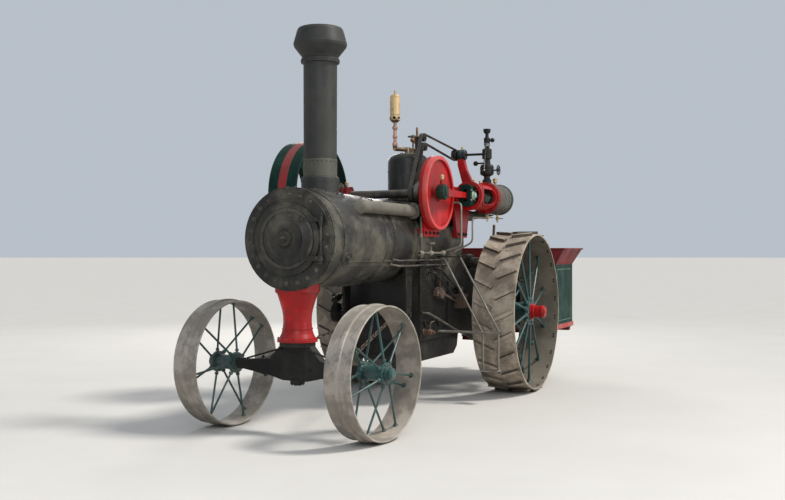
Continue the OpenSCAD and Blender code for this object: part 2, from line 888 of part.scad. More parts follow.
module flywheel() {
    arms = 6;
    color("#1f4a3f") on_engine() translate([crank_x, -flywheel_y, crank_z]) difference() {
        union() {
            difference() {
                along_y(-flywheel_w / 2, flywheel_w / 2, flywheel_r);
                along_y(-flywheel_w, flywheel_w, flywheel_r - 24);
            }
            along_y(-120, 120, 95);
            for (i = [0 : arms - 1])
                rotate([0, i * 360 / arms, 0]) block([60, -26, -42], [flywheel_r - 20, 26, 42]);
        }
        along_y(-flywheel_w, flywheel_w, shaft_r);
    }
}

module crank_bearing_right() {
    y0 = -525;
    y1 = -430;
    color("#6e1f20") on_engine() difference() {
        union() {
            along_y(y0, y1, 86, crank_x, crank_z);
            upright(y0 + 10, y1) polygon([
                [crank_x - 90, crank_z - 40], [crank_x + 90, crank_z - 40], [crank_x + 170, 1650],
                [crank_x - 170, 1650]
            ]);
            block([crank_x - 170, y1, 1650], [crank_x + 170, -300, 1760]);
        }
        along_y(y0 - 10, y1 + 10, shaft_r + run_gap, crank_x, crank_z);
        along_x(crank_x - 300, crank_x + 300, boiler_r + strap_t);
    }
}

// Opening with round ends in a side of the guide
module guide_window(x0, x1, half, y0, y1) {
    block([x0 + half, y0, crank_z - half], [x1 - half, y1, crank_z + half]);
    for (x = [x0 + half, x1 - half])
        along_y(y0, y1, half, x, crank_z);
}

module engine_frame() {
    inner = disc_y - 45;
    window = [guide_back + 58, guide_front - 70];
    color("#b3202a") on_engine() {
        difference() {
            union() {
                // Trunk guide with its end flanges and the lip of its window
                along_x(guide_back, guide_front, guide_r - 12, engine_y, crank_z);
                along_x(guide_front - 42, guide_front, guide_r, engine_y, crank_z);
                along_x(guide_back, guide_back + 30, guide_r + 15, engine_y, crank_z);
                intersection() {
                    along_x(guide_back, guide_front, guide_r - 2, engine_y, crank_z);
                    guide_window(window[0] - 16, window[1] + 16, 94, engine_y, engine_y + guide_r);
                }
                // Girder from the guide to the main bearing, behind the crank disc
                upright(inner, disc_y - 15) polygon([
                    [guide_front - 470, crank_z - 130], [guide_front - 470, crank_z + 60],
                    [guide_front - 110, crank_z + 100], [crank_x - 60, crank_z + 95],
                    [crank_x + 60, crank_z + 95], [crank_x + 110, crank_z - 60],
                    [crank_x + 190, boiler_z + 40], [crank_x - 190, boiler_z + 40],
                    [crank_x - 260, crank_z - 130], [guide_front - 30, crank_z - 130],
                    [guide_front - 120, boiler_z + 40], [guide_front - 400, boiler_z + 40]
                ]);
                upright(inner, engine_y) polygon([
                    [guide_front - 440, crank_z - 70], [guide_front - 440, crank_z + 60],
                    [guide_front - 20, crank_z + 60], [guide_front - 20, crank_z - 70]
                ]);
                // Main bearing
                along_y(disc_y - 12 - main_bearing_len, disc_y - 12, 92, crank_x, crank_z);
                // Feet on the boiler's side
                for (x = [[guide_front - 400, guide_front - 120], [crank_x - 190, crank_x + 190]])
                    block([x[0], 300, boiler_z + 40], [x[1], inner + 10, boiler_z + 120]);
            }
            along_x(guide_back - 10, guide_front + 10, guide_bore, engine_y, crank_z);
            along_y(belt_y, disc_y, shaft_r + run_gap, crank_x, crank_z);
            along_x(backhead_x - 10, smokebox_back, boiler_r + strap_t);
            guide_window(window[0], window[1], 78, engine_y, engine_y + 200);
        }
        // Bracket on the valve chest for the governor's shaft
        difference() {
            union() {
                crosswise(gov_pulley[0] - 34, gov_pulley[0] + 34) polygon([
                    [engine_y - 260, chest_top], [engine_y - 140, chest_top],
                    [engine_y - 230, chest_top + 190], [belt_y + 96, gov_pulley[1]],
                    [belt_y + 40, gov_pulley[1]], [belt_y + 40, gov_pulley[1] - 110]
                ]);
                along_y(belt_y + 36, belt_y + 100, 36, gov_pulley[0], gov_pulley[1]);
            }
            along_y(belt_y, engine_y, gov_shaft_r + run_gap, gov_pulley[0], gov_pulley[1]);
        }
    }
}

// Jacket, covers and valve chest of the cylinder
module steam_cylinder_form() {
    along_x(cylinder_back + 30, guide_back - 40, cylinder_r - 8, engine_y, crank_z);
    along_x(guide_back - 40, guide_back, cylinder_r, engine_y, crank_z);
    along_x(cylinder_back, cylinder_back + 30, cylinder_r, engine_y, crank_z);
    along_x(cylinder_back - 24, cylinder_back, cylinder_r - 60, engine_y, crank_z);
    // Valve chest on the inner side, with its cover
    block([cylinder_back + 70, engine_y - 262, crank_z - 90],
        [guide_back - 18, engine_y - 120, chest_top]);
    block([cylinder_back + 56, engine_y - 276, crank_z - 104],
        [guide_back - 4, engine_y - 262, chest_top + 6]);
}

module steam_cylinder() {
    color("#4d5a4c") on_engine() difference() {
        steam_cylinder_form();
        along_x(guide_back - rod_depth, guide_back + 1, piston_rod_r + run_gap, engine_y, crank_z);
    }
}

module valve_gear() {
    x = guide_front - 220;
    y = engine_y - 225;
    top = crank_z + 62;
    low = crank_z - 90;
    strap_y = [eccentric_y - 22, eccentric_y + 22];
    color("#4b4a48") on_engine() {
        // Eccentric strap round the crankshaft, and its rod
        difference() {
            union() {
                along_y(strap_y[0], strap_y[1], 110, crank_x - 20, crank_z);
                block([crank_x - 38, strap_y[0], crank_z - 118], [crank_x - 2, strap_y[1], crank_z + 124]);
            }
            along_y(strap_y[0] - 10, strap_y[1] + 10, shaft_r + run_gap, crank_x, crank_z);
        }
        upright(eccentric_y - 12, eccentric_y + 12) polygon([
            [crank_x - 110, crank_z - 34], [x, top - 16], [x, top + 16], [crank_x - 110, crank_z + 34]
        ]);
        // Rocker on the girder, and the valve's rod
        along_y(strap_y[0], disc_y - 45, 15, x, low);
        for (arm = [eccentric_y, y]) {
            bar([x, arm, low], [x, arm, top], 13);
            translate([x, arm, top]) sphere(r = 25);
            along_y(arm - 16, arm + 16, 27, x, low);
        }
        along_x(guide_back - 18, x, 11, y, top);
    }
}

module governor() {
    x = gov_pulley[0];
    base = crank_z + cylinder_r - 30;
    neck = gov_pulley[1] - base;
    // Rows are a radius and a height above the foot
    column = [
        [0, 0], [48, 0], [48, 55], [34, 66], [34, 96], [68, 112], [74, 128], [74, 196], [68, 212],
        [40, 226], [34, neck - 62], [52, neck - 48], [52, neck + 48], [30, neck + 62], [22, neck + 84],
        [22, neck + 116], [34, neck + 122], [34, neck + 170], [20, neck + 178], [18, neck + 218],
        [34, neck + 226], [40, neck + 252], [40, neck + 268], [0, neck + 274]
    ];
    // Columns are a ball's place from the neck and its radius
    balls = [[[0, 62, 146], 24], [[0, -128, -98], 27]];
    color("#232523") on_engine() {
        difference() {
            translate([x, engine_y, base]) rotate_extrude() polygon(column);
            steam_cylinder_form();
        }
        for (b = balls) {
            translate([x, engine_y, gov_pulley[1]] + b[0]) sphere(r = b[1]);
            bar([x, engine_y, gov_pulley[1] + b[0][2]], [x, engine_y, gov_pulley[1]] + b[0], 9);
        }
        // Shaft with its pulley
        along_y(belt_y - 34, engine_y, gov_shaft_r, x, gov_pulley[1]);
        along_y(belt_y - 28, belt_y + 28, gov_pulley_r, x, gov_pulley[1]);
    }
}

// Direction of the belt's left side on its way from one pulley to the next
function strand(p, q) =
    let (v = q[0] - p[0]) atan2(v[1], v[0]) + acos((p[1] * p[2] - q[1] * q[2]) / norm(v));

// Points where a belt's side lies round its pulleys, at a distance off its middle
function belt_side(pulleys, off, steps = 18) = [
    for (i = [0 : len(pulleys) - 1])
        let (
            n = len(pulleys),
            p = pulleys[i],
            from = strand(pulleys[(i + n - 1) % n], p),
            to = strand(p, pulleys[(i + 1) % n]),
            sweep = p[2] > 0 ? -((from - to + 720) % 360) : (to - from + 720) % 360
        )
        for (k = [0 : steps])
            let (a = from + sweep * k / steps) p[0] + (p[1] * p[2] + off) * [cos(a), sin(a)]
];

module governor_belt() {
    lift = belt_t / 2 + slide_gap / 2;
    // Columns are the pulley's middle, the belt's radius there and the side that it passes
    pulleys = [
        [gov_pulley, gov_pulley_r + lift, 1], [idler_up, idler_r + lift, 1],
        [[crank_x, crank_z], shaft_pulley_r + lift, 1], [idler_low, idler_r + lift, -1]
    ];
    color("#3b2f26") on_engine() upright(belt_y - 20, belt_y + 20) difference() {
        polygon(belt_side(pulleys, belt_t / 2));
        polygon(belt_side(pulleys, -belt_t / 2));
    }
}

module belt_idlers() {
    arm = belt_y - 75;
    foot = [dome_x + 40, dome_shoulder - 140];
    color("#232523") on_engine() difference() {
        union() {
            for (c = [idler_up, idler_low]) {
                along_y(belt_y - 26, belt_y + 26, idler_r, c[0], c[1]);
                along_y(arm, belt_y + 36, 11, c[0], c[1]);
            }
            upright(arm, arm + 18) polygon([
                foot, foot + [90, -20], idler_low + [34, -18], idler_up + [24, 8], idler_up + [-20, 24],
                idler_low + [-36, 10]
            ]);
            block([foot[0] - 70, 120, foot[1] - 20], [foot[0] + 70, arm + 10, foot[1] + 50]);
        }
        dome_form();
    }
}

module crosshead() {
    half = guide_bore - 2;
    color("#1f4a3f") on_engine() {
        difference() {
            union() {
                intersection() {
                    along_x(wrist_x - 75, wrist_x + 75, half, engine_y, crank_z);
                    block([wrist_x - 80, engine_y - 60, crank_z - half],
                        [wrist_x + 80, engine_y + 60, crank_z + half]);
                }
                along_x(guide_back - 60, wrist_x - 60, piston_rod_r, engine_y, crank_z);
            }
            block([wrist_x - 50, engine_y - rod_t / 2 - slide_gap, crank_z - 60],
                [wrist_x + 90, engine_y + rod_t / 2 + slide_gap, crank_z + 60]);
            along_y(engine_y - 70, engine_y + 70, 24 + run_gap, wrist_x, crank_z);
        }
    }
}

module connecting_rod() {
    color("#b3202a") on_engine() {
        along_y(engine_y - rod_t / 2, engine_y + rod_t / 2, 46, wrist_x, crank_z);
        along_y(engine_y - 60, engine_y + 60, 24, wrist_x, crank_z);
        upright(engine_y - rod_t / 2 + 6, engine_y + rod_t / 2 - 6) polygon([
            [wrist_x + 20, crank_z - 26], [pin_x - 60, crank_z - 38], [pin_x - 60, crank_z + 38],
            [wrist_x + 20, crank_z + 26]
        ]);
        along_y(engine_y - 34, engine_y + 40, 68, pin_x, crank_z);
        along_y(disc_y + disc_t + slide_gap, engine_y + 52, 36, pin_x, crank_z);
        translate([pin_x, engine_y, crank_z + 60]) cylinder(h = 50, r = 20);
    }
}

module steering_roller() {
    hang = 330;
    axle = 24;
    teeth = 26;
    size = worm_wheel_r / (teeth / 2 + 0.85);
    turn_depth = 7.2;
    color("#2b2c2b") on_engine() {
        along_y(-worm_y - 40, hang + 30, axle, roller_x, roller_z);
        // Spools with their flanges and the turns of chain on them
        for (s = [-1, 1]) {
            along_y(s * spool_y - 50, s * spool_y + 50, spool_r - 18, roller_x, roller_z);
            for (y = [-50, 42])
                along_y(s * spool_y + y, s * spool_y + y + 8, spool_r + 16, roller_x, roller_z);
            for (y = [-34, -16, 2, 20])
                along_y(s * spool_y + y, s * spool_y + y + 12, spool_r - turn_depth - run_gap,
                    roller_x, roller_z);
        }
        translate([roller_x, 0, roller_z]) upright(-worm_y - 24, -worm_y + 24)
            gear_outline(teeth, size);
        both_sides() difference() {
            upright(hang - 12, hang + 12) polygon([
                [roller_x - 50, roller_z - 40], [roller_x + 50, roller_z - 40],
                [roller_x + 90, boiler_z - 150], [roller_x - 90, boiler_z - 150]
            ]);
            along_x(backhead_x, smokebox_back, boiler_r);
            along_y(hang - 20, hang + 20, axle + run_gap, roller_x, roller_z);
        }
    }
}

module steering_shaft() {
    worm_r = 32;
    wheel_r = 190;
    reach = 2080;
    dir = [-cos(steer_rise), 0, sin(steer_rise)];
    worm = [roller_x, -worm_y, roller_z + (worm_wheel_r + worm_r + run_gap) / cos(steer_rise)];
    stay = worm + dir * 780;
    post = worm + dir * (reach - 30);
    color("#3a3a38") on_engine() {
        bar(worm - dir * 70, worm + dir * reach, 16);
        bar(worm - dir * 60, worm + dir * 60, worm_r - 9);
        for (i = [-2 : 2])
            bar(worm + dir * (i * 24 - 5), worm + dir * (i * 24 + 5), worm_r);
        translate(worm + dir * reach) rotate([0, steer_rise - 90, 0]) {
            rotate_extrude() translate([wheel_r, 0]) circle(r = 13, $fn = 8);
            for (a = [0 : 45 : 135])
                rotate([0, 0, a]) block([-wheel_r, -9, -5], [wheel_r, 9, 5]);
            cylinder(h = 30, r = 30, center = true);
        }
        // Stay on the firebox and post on the platform
        along_y(-worm_y, -firebox_w / 2, 14, stay[0], stay[2]);
        bar([post[0], -worm_y, deck_z], post, 14);
    }
}

// Outline of a rectangle w by h with its four corners cut off
function cut_corners(w, h, cut) = [
    for (q = [[1, 1], [-1, 1], [-1, -1], [1, -1]])
        for (in = q[0] * q[1] > 0 ? [[0, cut], [cut, 0]] : [[cut, 0], [0, cut]])
            [q[0] * (w / 2 - in[0]), q[1] * (h / 2 - in[1])]
];

// Chain link along Z, with its hole's length given
module link(inner) {
    wide = 18;
    translate([0, chain_wire / 2, 0]) rotate([90, 0, 0]) linear_extrude(height = chain_wire)
        difference() {
            polygon(cut_corners(wide + 2 * chain_wire, inner + 2 * chain_wire, chain_wire));
            polygon(cut_corners(wide, inner, wide / 6));
        }
}

// Chain from its spool to the axle's eye, on the left for s = 1
module steering_chain(s) {
    turned = [
        -eye_back * cos(parked_turn) + s * eye_y * sin(parked_turn),
        eye_back * sin(parked_turn) + s * eye_y * cos(parked_turn)
    ];
    eye = [wheelbase + turned[0], turned[1], eye_z];
    spool = [roller_x, s * spool_y, roller_z - spool_r];
    v = eye - spool;
    // The last link stays clear of the eye, whose face it meets at a slant
    slant_gap = 2.4;
    reach = norm(v) - eye_r - chain_wire - slant_gap;
    links = round(reach / chain_pitch);
    pitch = reach / links;
    on_engine() translate(spool) rotate([0, acos(v[2] / norm(v)), atan2(v[1], v[0])])
        for (i = [0 : links - 1])
            translate([0, 0, (i + 0.5) * pitch]) rotate([0, 0, (i + 1) % 2 * 90])
                link(pitch + run_gap);
}

module steering_chain_left() {
    color("#4b4844") steering_chain(1);
}

module steering_chain_right() {
    color("#4b4844") steering_chain(-1);
}

module water_tank() {
    color("#1f4a3f") on_engine() block([-bunker_front + 10, -560, bunker_z], [-300, 560, deck_z - deck_t]);
}

module deck() {
    color("#4a4033") on_engine() translate([0, 0, deck_z - deck_t]) linear_extrude(height = deck_t)
        polygon([
            [-bunker_front, -600], [-300, -600], [-300, -plate_y], [backhead_x, -plate_y],
            [backhead_x, plate_y], [-300, plate_y], [-300, 600], [-bunker_front, 600]
        ]);
}

module bunker() {
    color("#1f4a3f") on_engine() difference() {
        block([-bunker_back, -bunker_w / 2, bunker_z], [-bunker_front, bunker_w / 2, bunker_z + bunker_h]);
        block([-bunker_back + bunker_t, -bunker_w / 2 + bunker_t, bunker_z + bunker_t],
            [-bunker_front - bunker_t, bunker_w / 2 - bunker_t, bunker_z + bunker_h + 10]);
    }
}

// Slab of the flared rail at a height, leaning out by a distance
module flare_slab(z, out, t, inset) {
    block([-bunker_back - out + inset, -bunker_w / 2 - out + inset, z],
        [-bunker_front - inset, bunker_w / 2 + out - inset, z + t]);
}

module bunker_flare() {
    base = bunker_z + bunker_h;
    color("#b8222b") on_engine() difference() {
        hull() {
            flare_slab(base, 0, 1, 0);
            flare_slab(base + flare_h - 1, flare_out, 1, 0);
        }
        hull() {
            flare_slab(base - 1, 0, 1, bunker_t);
            flare_slab(base + flare_h, flare_out, 1, bunker_t);
        }
    }
}

module frame_beams() {
    color("#8f1d22") on_engine() difference() {
        union() {
            both_sides() block([-bunker_back - 10, beam_in, beam_z], [40, plate_y, bunker_z]);
            block([-bunker_back - 10, -beam_in, beam_z], [-bunker_back + 70, beam_in, bunker_z]);
            block([-hitch_x, -90, beam_z + 15], [-bunker_back - 10, 90, bunker_z - 15]);
            for (x = [-bunker_back + 40, -bunker_front - 120])
                both_sides() block([x, plate_y, beam_z + 10], [x + 60, bunker_w / 2 - 20, bunker_z]);
        }
        translate([-hitch_x + hitch_back, 0, 0]) cylinder(h = bunker_z, r = hitch_r);
    }
}

module side_step() {
    x = 1010;
    y = 960;
    color("#2b2c2b") on_engine() {
        block([x - 60, y - 110, 320], [x + 60, y + 70, 334]);
        for (dy = [-100, 60])
            bar([x, y + dy, 330], [x, y + dy, 700], 11);
        bar([x, y + 60, 700], [x, firebox_w / 2, 700], 12);
    }
}

module levers() {
    color("#4a4a45") on_engine() {
        // Reversing lever and throttle on the left, gauge above the fire door
        block([-370, plate_y + 70, deck_z], [-310, plate_y + 110, deck_z + 30]);
        bar([-340, plate_y + 90, deck_z + 15], [-450, plate_y + 90, deck_z + 800], 12);
        bar([backhead_x, 120, 1900], [backhead_x - 150, 120, 1900], 11);
        bar([backhead_x - 120, 120, 1900], [backhead_x - 260, 300, 1930], 10);
        along_x(backhead_x - 70, backhead_x - 30, 70, -60, 1945);
        along_x(backhead_x - 30, backhead_x, 14, -60, 1945);
    }
}

boiler();
smokebox();
smokebox_door();
door_hinge();
stack();
steam_dome();
whistle();
safety_valve();
dome_valve();
ash_pan();
grate();
fire_door();
exhaust_pipe();
side_pipes();
feed_pump();
front_pedestal();
front_axle();
front_rim_left();
front_rim_right();
front_spokes_left();
front_spokes_right();
rear_axle();
rear_rim_left();
rear_rim_right();
rear_spokes_left();
rear_spokes_right();
hub_cap_left();
hub_cap_right();
bull_gear_left();
bull_gear_right();
side_plates();
countershaft();
main_gear();
intermediate_gear();
gear_stud();
crankshaft();
crank_disc();
flywheel();
crank_bearing_right();
engine_frame();
steam_cylinder();
valve_gear();
governor();
governor_belt();
belt_idlers();
crosshead();
connecting_rod();
steering_roller();
steering_shaft();
steering_chain_left();
steering_chain_right();
water_tank();
deck();
bunker();
bunker_flare();
frame_beams();
side_step();
levers();
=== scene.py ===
import json
import math
from itertools import product

import bpy
from mathutils import Matrix, Vector


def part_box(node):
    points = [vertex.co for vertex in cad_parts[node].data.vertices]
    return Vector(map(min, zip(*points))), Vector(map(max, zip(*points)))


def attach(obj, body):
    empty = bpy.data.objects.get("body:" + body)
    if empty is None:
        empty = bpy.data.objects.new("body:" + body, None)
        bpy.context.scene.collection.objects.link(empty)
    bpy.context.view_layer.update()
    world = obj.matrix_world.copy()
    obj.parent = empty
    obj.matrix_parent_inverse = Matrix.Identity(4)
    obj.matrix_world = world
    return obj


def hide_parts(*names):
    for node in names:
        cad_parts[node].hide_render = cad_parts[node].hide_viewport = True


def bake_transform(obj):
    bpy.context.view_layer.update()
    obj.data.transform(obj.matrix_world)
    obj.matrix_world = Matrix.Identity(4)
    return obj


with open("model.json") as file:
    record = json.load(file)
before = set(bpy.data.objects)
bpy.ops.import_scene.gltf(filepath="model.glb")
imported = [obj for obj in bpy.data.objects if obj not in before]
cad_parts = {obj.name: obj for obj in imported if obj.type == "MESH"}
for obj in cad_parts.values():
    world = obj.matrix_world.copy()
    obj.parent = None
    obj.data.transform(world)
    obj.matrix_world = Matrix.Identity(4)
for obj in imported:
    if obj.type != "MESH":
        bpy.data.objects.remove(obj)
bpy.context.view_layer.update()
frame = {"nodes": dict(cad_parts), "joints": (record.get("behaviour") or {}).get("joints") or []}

# Steam traction engine: finishes, fastenings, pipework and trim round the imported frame.
# Metres, X forward, Y to the engine's left, Z up, the same as the frame.

cadNodes = frame["nodes"]
scene = bpy.context.scene
print("frame in: %d nodes" % len(cadNodes))


# Places taken from the frame

def boxOf(node):
    low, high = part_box(node)
    return Vector(low), Vector(high)


def middle(node):
    return sum(boxOf(node), Vector()) / 2


def jointPlace(name):
    joint = next(j for j in frame["joints"] if j["name"] == name)
    return Vector(joint["pos_m"]), Vector(joint["axis"]).normalized()


ahead, left, up = Vector((1, 0, 0)), Vector((0, 1, 0)), Vector((0, 0, 1))
axleX = middle("rear_axle").x


def at(x, y, z):
    return Vector((axleX + x, y, z))        # x is counted from the rear axle


# Camera, lights and floor

camera = dict(
    eye=(10.32, 4.165, 1.52),       # a standing person's eye, in front and to the engine's left
    aim=(1.612, 0.15),              # what the middle of the view points at, on the ground plan
    lens=45.5,
    sensor=36.0,
)


def makeCamera(c):
    data = bpy.data.cameras.new("viewCamera")
    data.lens, data.sensor_width = c["lens"], c["sensor"]
    data.clip_start, data.clip_end = 0.1, 200
    rig = bpy.data.objects.new("viewCamera", data)
    scene.collection.objects.link(rig)
    rig.location = at(*c["eye"])
    level = at(c["aim"][0], c["aim"][1], c["eye"][2]) - rig.location
    rig.rotation_mode = "QUATERNION"
    rig.rotation_quaternion = level.to_track_quat("-Z", "Y")    # level, so uprights stay upright
    scene.camera = rig


softLights = [                      # name, place, target, size, watts, colour
    ("frontSoft", (9.5, 3.5, 5.0), (1.0, 0.0, 1.2), 4.0, 240, (0.93, 0.96, 1.0)),
    ("leftSoft", (1.5, 8.0, 3.2), (0.5, 0.0, 1.0), 4.0, 210, (1.0, 0.97, 0.93)),
    ("backSoft", (-8.0, -5.0, 5.0), (0.0, 0.0, 1.5), 4.0, 300, (1.0, 0.97, 0.93)),
]

keyLight = dict(coming=(-0.30, 0.80, 1.10), power=3.7, spread=0.20, colour=(1.0, 0.965, 0.91))

studioAir = dict(colour=(0.80, 0.875, 0.97), strength=0.60)


def aimLamp(data, place, towards):
    lamp = bpy.data.objects.new(data.name, data)
    scene.collection.objects.link(lamp)
    lamp.location = place
    lamp.rotation_mode = "QUATERNION"
    lamp.rotation_quaternion = towards.to_track_quat("-Z", "Y")


def makeLights():
    for name, place, target, size, watts, tint in softLights:
        data = bpy.data.lights.new(name, "AREA")
        data.shape, data.size = "DISK", size
        data.energy, data.color = watts, tint
        aimLamp(data, place, Vector(target) - Vector(place))
    data = bpy.data.lights.new("keySoft", "SUN")    # high on the right, so shadows fall to the left
    data.energy, data.angle, data.color = keyLight["power"], keyLight["spread"], keyLight["colour"]
    aimLamp(data, Vector(keyLight["coming"]) * 8, -Vector(keyLight["coming"]))
    world = bpy.data.worlds.new("studioAir")
    world.use_nodes = True
    air = world.node_tree.nodes["Background"].inputs
    air["Color"].default_value = (*studioAir["colour"], 1)
    air["Strength"].default_value = studioAir["strength"]
    scene.world = world
    scene.view_settings.view_transform = "Standard"


# Node helpers for materials

def feed(tree, made, links):
    for key, value in links.items():
        if isinstance(value, bpy.types.NodeSocket):
            tree.links.new(value, made.inputs[key])
        else:
            made.inputs[key].default_value = value
    return made


def addNode(tree, kind, links=None, **settings):
    made = tree.nodes.new("ShaderNode" + kind)
    for key, value in settings.items():
        setattr(made, key, value)
    return feed(tree, made, links or {})


def mathNode(tree, operation, a, b=0.0, clamp=False):
    return addNode(tree, "Math", {0: a, 1: b}, operation=operation, use_clamp=clamp).outputs[0]


def times(tree, a, b, clamp=False):
    return mathNode(tree, "MULTIPLY", a, b, clamp)


def vectorNode(tree, operation, a, b=(0, 0, 0), out="Vector"):
    return addNode(tree, "VectorMath", {0: a, 1: b}, operation=operation).outputs[out]


def stepNode(tree, value, low, high, toLow=0.0, toHigh=1.0):
    links = {"Value": value, "From Min": low, "From Max": high, "To Min": toLow, "To Max": toHigh}
    return addNode(tree, "MapRange", links, interpolation_type="SMOOTHSTEP").outputs["Result"]


def mixColour(tree, factor, a, b):
    return addNode(tree, "Mix", {0: factor, 6: a, 7: b}, data_type="RGBA").outputs[2]


def noiseNode(tree, vector, scale, detail=4.0, rough=0.55):
    links = {"Vector": vector, "Scale": scale, "Detail": detail, "Roughness": rough}
    return addNode(tree, "TexNoise", links).outputs["Fac"]


def rgba(colour):
    return (*colour, 1.0)


def newGroup(name, ins, outs):
    group = bpy.data.node_groups.new(name, "ShaderNodeTree")
    for socketName, value in ins.items():
        kind = {float: "Float", tuple: "Color"}.get(type(value), "Vector")
        socket = group.interface.new_socket(socketName, in_out="INPUT", socket_type="NodeSocket" + kind)
        if value is not None:
            socket.default_value = value
    for socketName, kind in outs.items():
        group.interface.new_socket(socketName, in_out="OUTPUT", socket_type="NodeSocket" + kind)
    return group, group.nodes.new("NodeGroupInput").outputs, group.nodes.new("NodeGroupOutput").inputs


def useGroup(tree, group, links):
    return feed(tree, addNode(tree, "Group", node_tree=group), links).outputs


# Shared effects

def makeWornEdges():
    ins = {"Vector": None, "Radius": 0.004, "Amount": 0.5}
    group, take, give = newGroup("wornEdges", ins, {"Mask": "Float", "Normal": "Vector"})
    rounded = addNode(group, "Bevel", {"Radius": take["Radius"]}, samples=4).outputs["Normal"]
    flat = addNode(group, "NewGeometry").outputs["Normal"]
    edge = stepNode(group, vectorNode(group, "DOT_PRODUCT", rounded, flat, "Value"), 0.995, 0.86)
    broken = stepNode(group, noiseNode(group, take["Vector"], 17.0, 6.0, 0.7), 0.38, 0.62)
    mask = times(group, times(group, edge, broken), take["Amount"], True)
    group.links.new(mask, give["Mask"])
    group.links.new(rounded, give["Normal"])
    return group


def makeSettledDust():
    ins = {"Vector": None, "Upward": 0.5, "Amount": 0.5, "Scale": 3.0}
    group, take, give = newGroup("settledDust", ins, {"Mask": "Float"})
    normal = addNode(group, "TexCoord").outputs["Normal"]
    rise = addNode(group, "SeparateXYZ", {0: normal}).outputs["Z"]
    lying = times(group, stepNode(group, rise, 0.15, 0.95), take["Upward"])
    cloud = noiseNode(group, take["Vector"], take["Scale"], 7.0, 0.65)
    patch = times(group, stepNode(group, cloud, 0.45, 0.64), take["Amount"])
    grain = stepNode(group, noiseNode(group, take["Vector"], 60.0, 4.0, 0.7), 0.2, 0.75, 0.55, 1.0)
    both = mathNode(group, "MAXIMUM", lying, patch)
    group.links.new(times(group, both, grain, True), give["Mask"])
    return group


def makeRunStreaks():
    ins = {"Vector": None, "Amount": 0.3, "Width": 14.0}
    group, take, give = newGroup("runStreaks", ins, {"Mask": "Float"})
    drawn = vectorNode(group, "MULTIPLY", take["Vector"], (1.0, 1.0, 0.09))     # long in height
    lines = stepNode(group, noiseNode(group, drawn, take["Width"], 5.0, 0.6), 0.5, 0.72)
    place = stepNode(group, noiseNode(group, take["Vector"], 1.7, 3.0, 0.5), 0.35, 0.65)
    group.links.new(times(group, times(group, lines, place), take["Amount"], True), give["Mask"])
    return group


def makeSurfaceGrain():
    ins = {"Vector": None, "Fine": 180.0, "Coarse": 9.0, "Lumps": 0.4}
    group, take, give = newGroup("surfaceGrain", ins, {"Height": "Float"})
    small = noiseNode(group, take["Vector"], take["Fine"], 3.0, 0.6)
    large = noiseNode(group, take["Vector"], take["Coarse"], 3.0, 0.5)
    group.links.new(mathNode(group, "ADD", small, times(group, large, take["Lumps"])), give["Height"])
    return group


def makeMottle():
    ins = {"Vector": None, "Main": (0, 0, 0, 1), "Other": (0, 0, 0, 1), "Scale": 2.5, "Share": 0.4}
    group, take, give = newGroup("mottle", ins, {"Color": "Color"})
    warp = noiseNode(group, take["Vector"], take["Scale"], 8.0, 0.68)
    low = mathNode(group, "SUBTRACT", 0.78, times(group, take["Share"], 0.5))
    mask = stepNode(group, warp, mathNode(group, "SUBTRACT", low, 0.16), low)
    group.links.new(mixColour(group, mask, take["Main"], take["Other"]), give["Color"])
    return group


def makeLugShade():                     # painted shade on the lugs' sides and inside the rear rims
    ins = {"Vector": None, "Radius": 0.83, "Amount": 0.8}
    group, take, give = newGroup("lugShade", ins, {"Mask": "Float", "Inside": "Float"})
    flat = vectorNode(group, "MULTIPLY", take["Vector"], (1.0, 0.0, 1.0))
    reach = vectorNode(group, "LENGTH", flat, out="Value")
    away = vectorNode(group, "NORMALIZE", flat)
    normal = addNode(group, "TexCoord").outputs["Normal"]
    rising = vectorNode(group, "DOT_PRODUCT", normal, away, "Value")
    beyond = stepNode(group, mathNode(group, "SUBTRACT", reach, take["Radius"]), -0.001, 0.002)
    sides = times(group, beyond, stepNode(group, rising, 0.75, 0.3))
    group.links.new(times(group, sides, take["Amount"], True), give["Mask"])
    within = stepNode(group, rising, -0.5, -0.9)
    group.links.new(times(group, within, take["Amount"], True), give["Inside"])
    return group


wornEdges, settledDust, runStreaks = makeWornEdges(), makeSettledDust(), makeRunStreaks()
surfaceGrain, mottle, lugShade = makeSurfaceGrain(), makeMottle(), makeLugShade()
print("shader groups made")


plainFinish = dict(                 # what a finish has unless it says otherwise
    main=(0.008, 0.008, 0.007), other=(0.022, 0.021, 0.016), share=0.5, patchScale=6.0,
    dust=(0.17, 0.165, 0.145), upward=0.5, dustAmount=0.25, dustScale=3.0, streak=(0.12, 0.115, 0.1),
    streakAmount=0.25, streakWidth=14.0, wear=(0.16, 0.14, 0.12), wearAmount=0.5, wearRadius=0.004,
    wearMetal=0.6, rough=(0.3, 0.5), metal=0.0, fine=180.0, coarse=9.0, lumps=0.5, bump=0.12, coat=0.0,
    shine=0.4, lugs=0.0, shadeBelow=None,
)

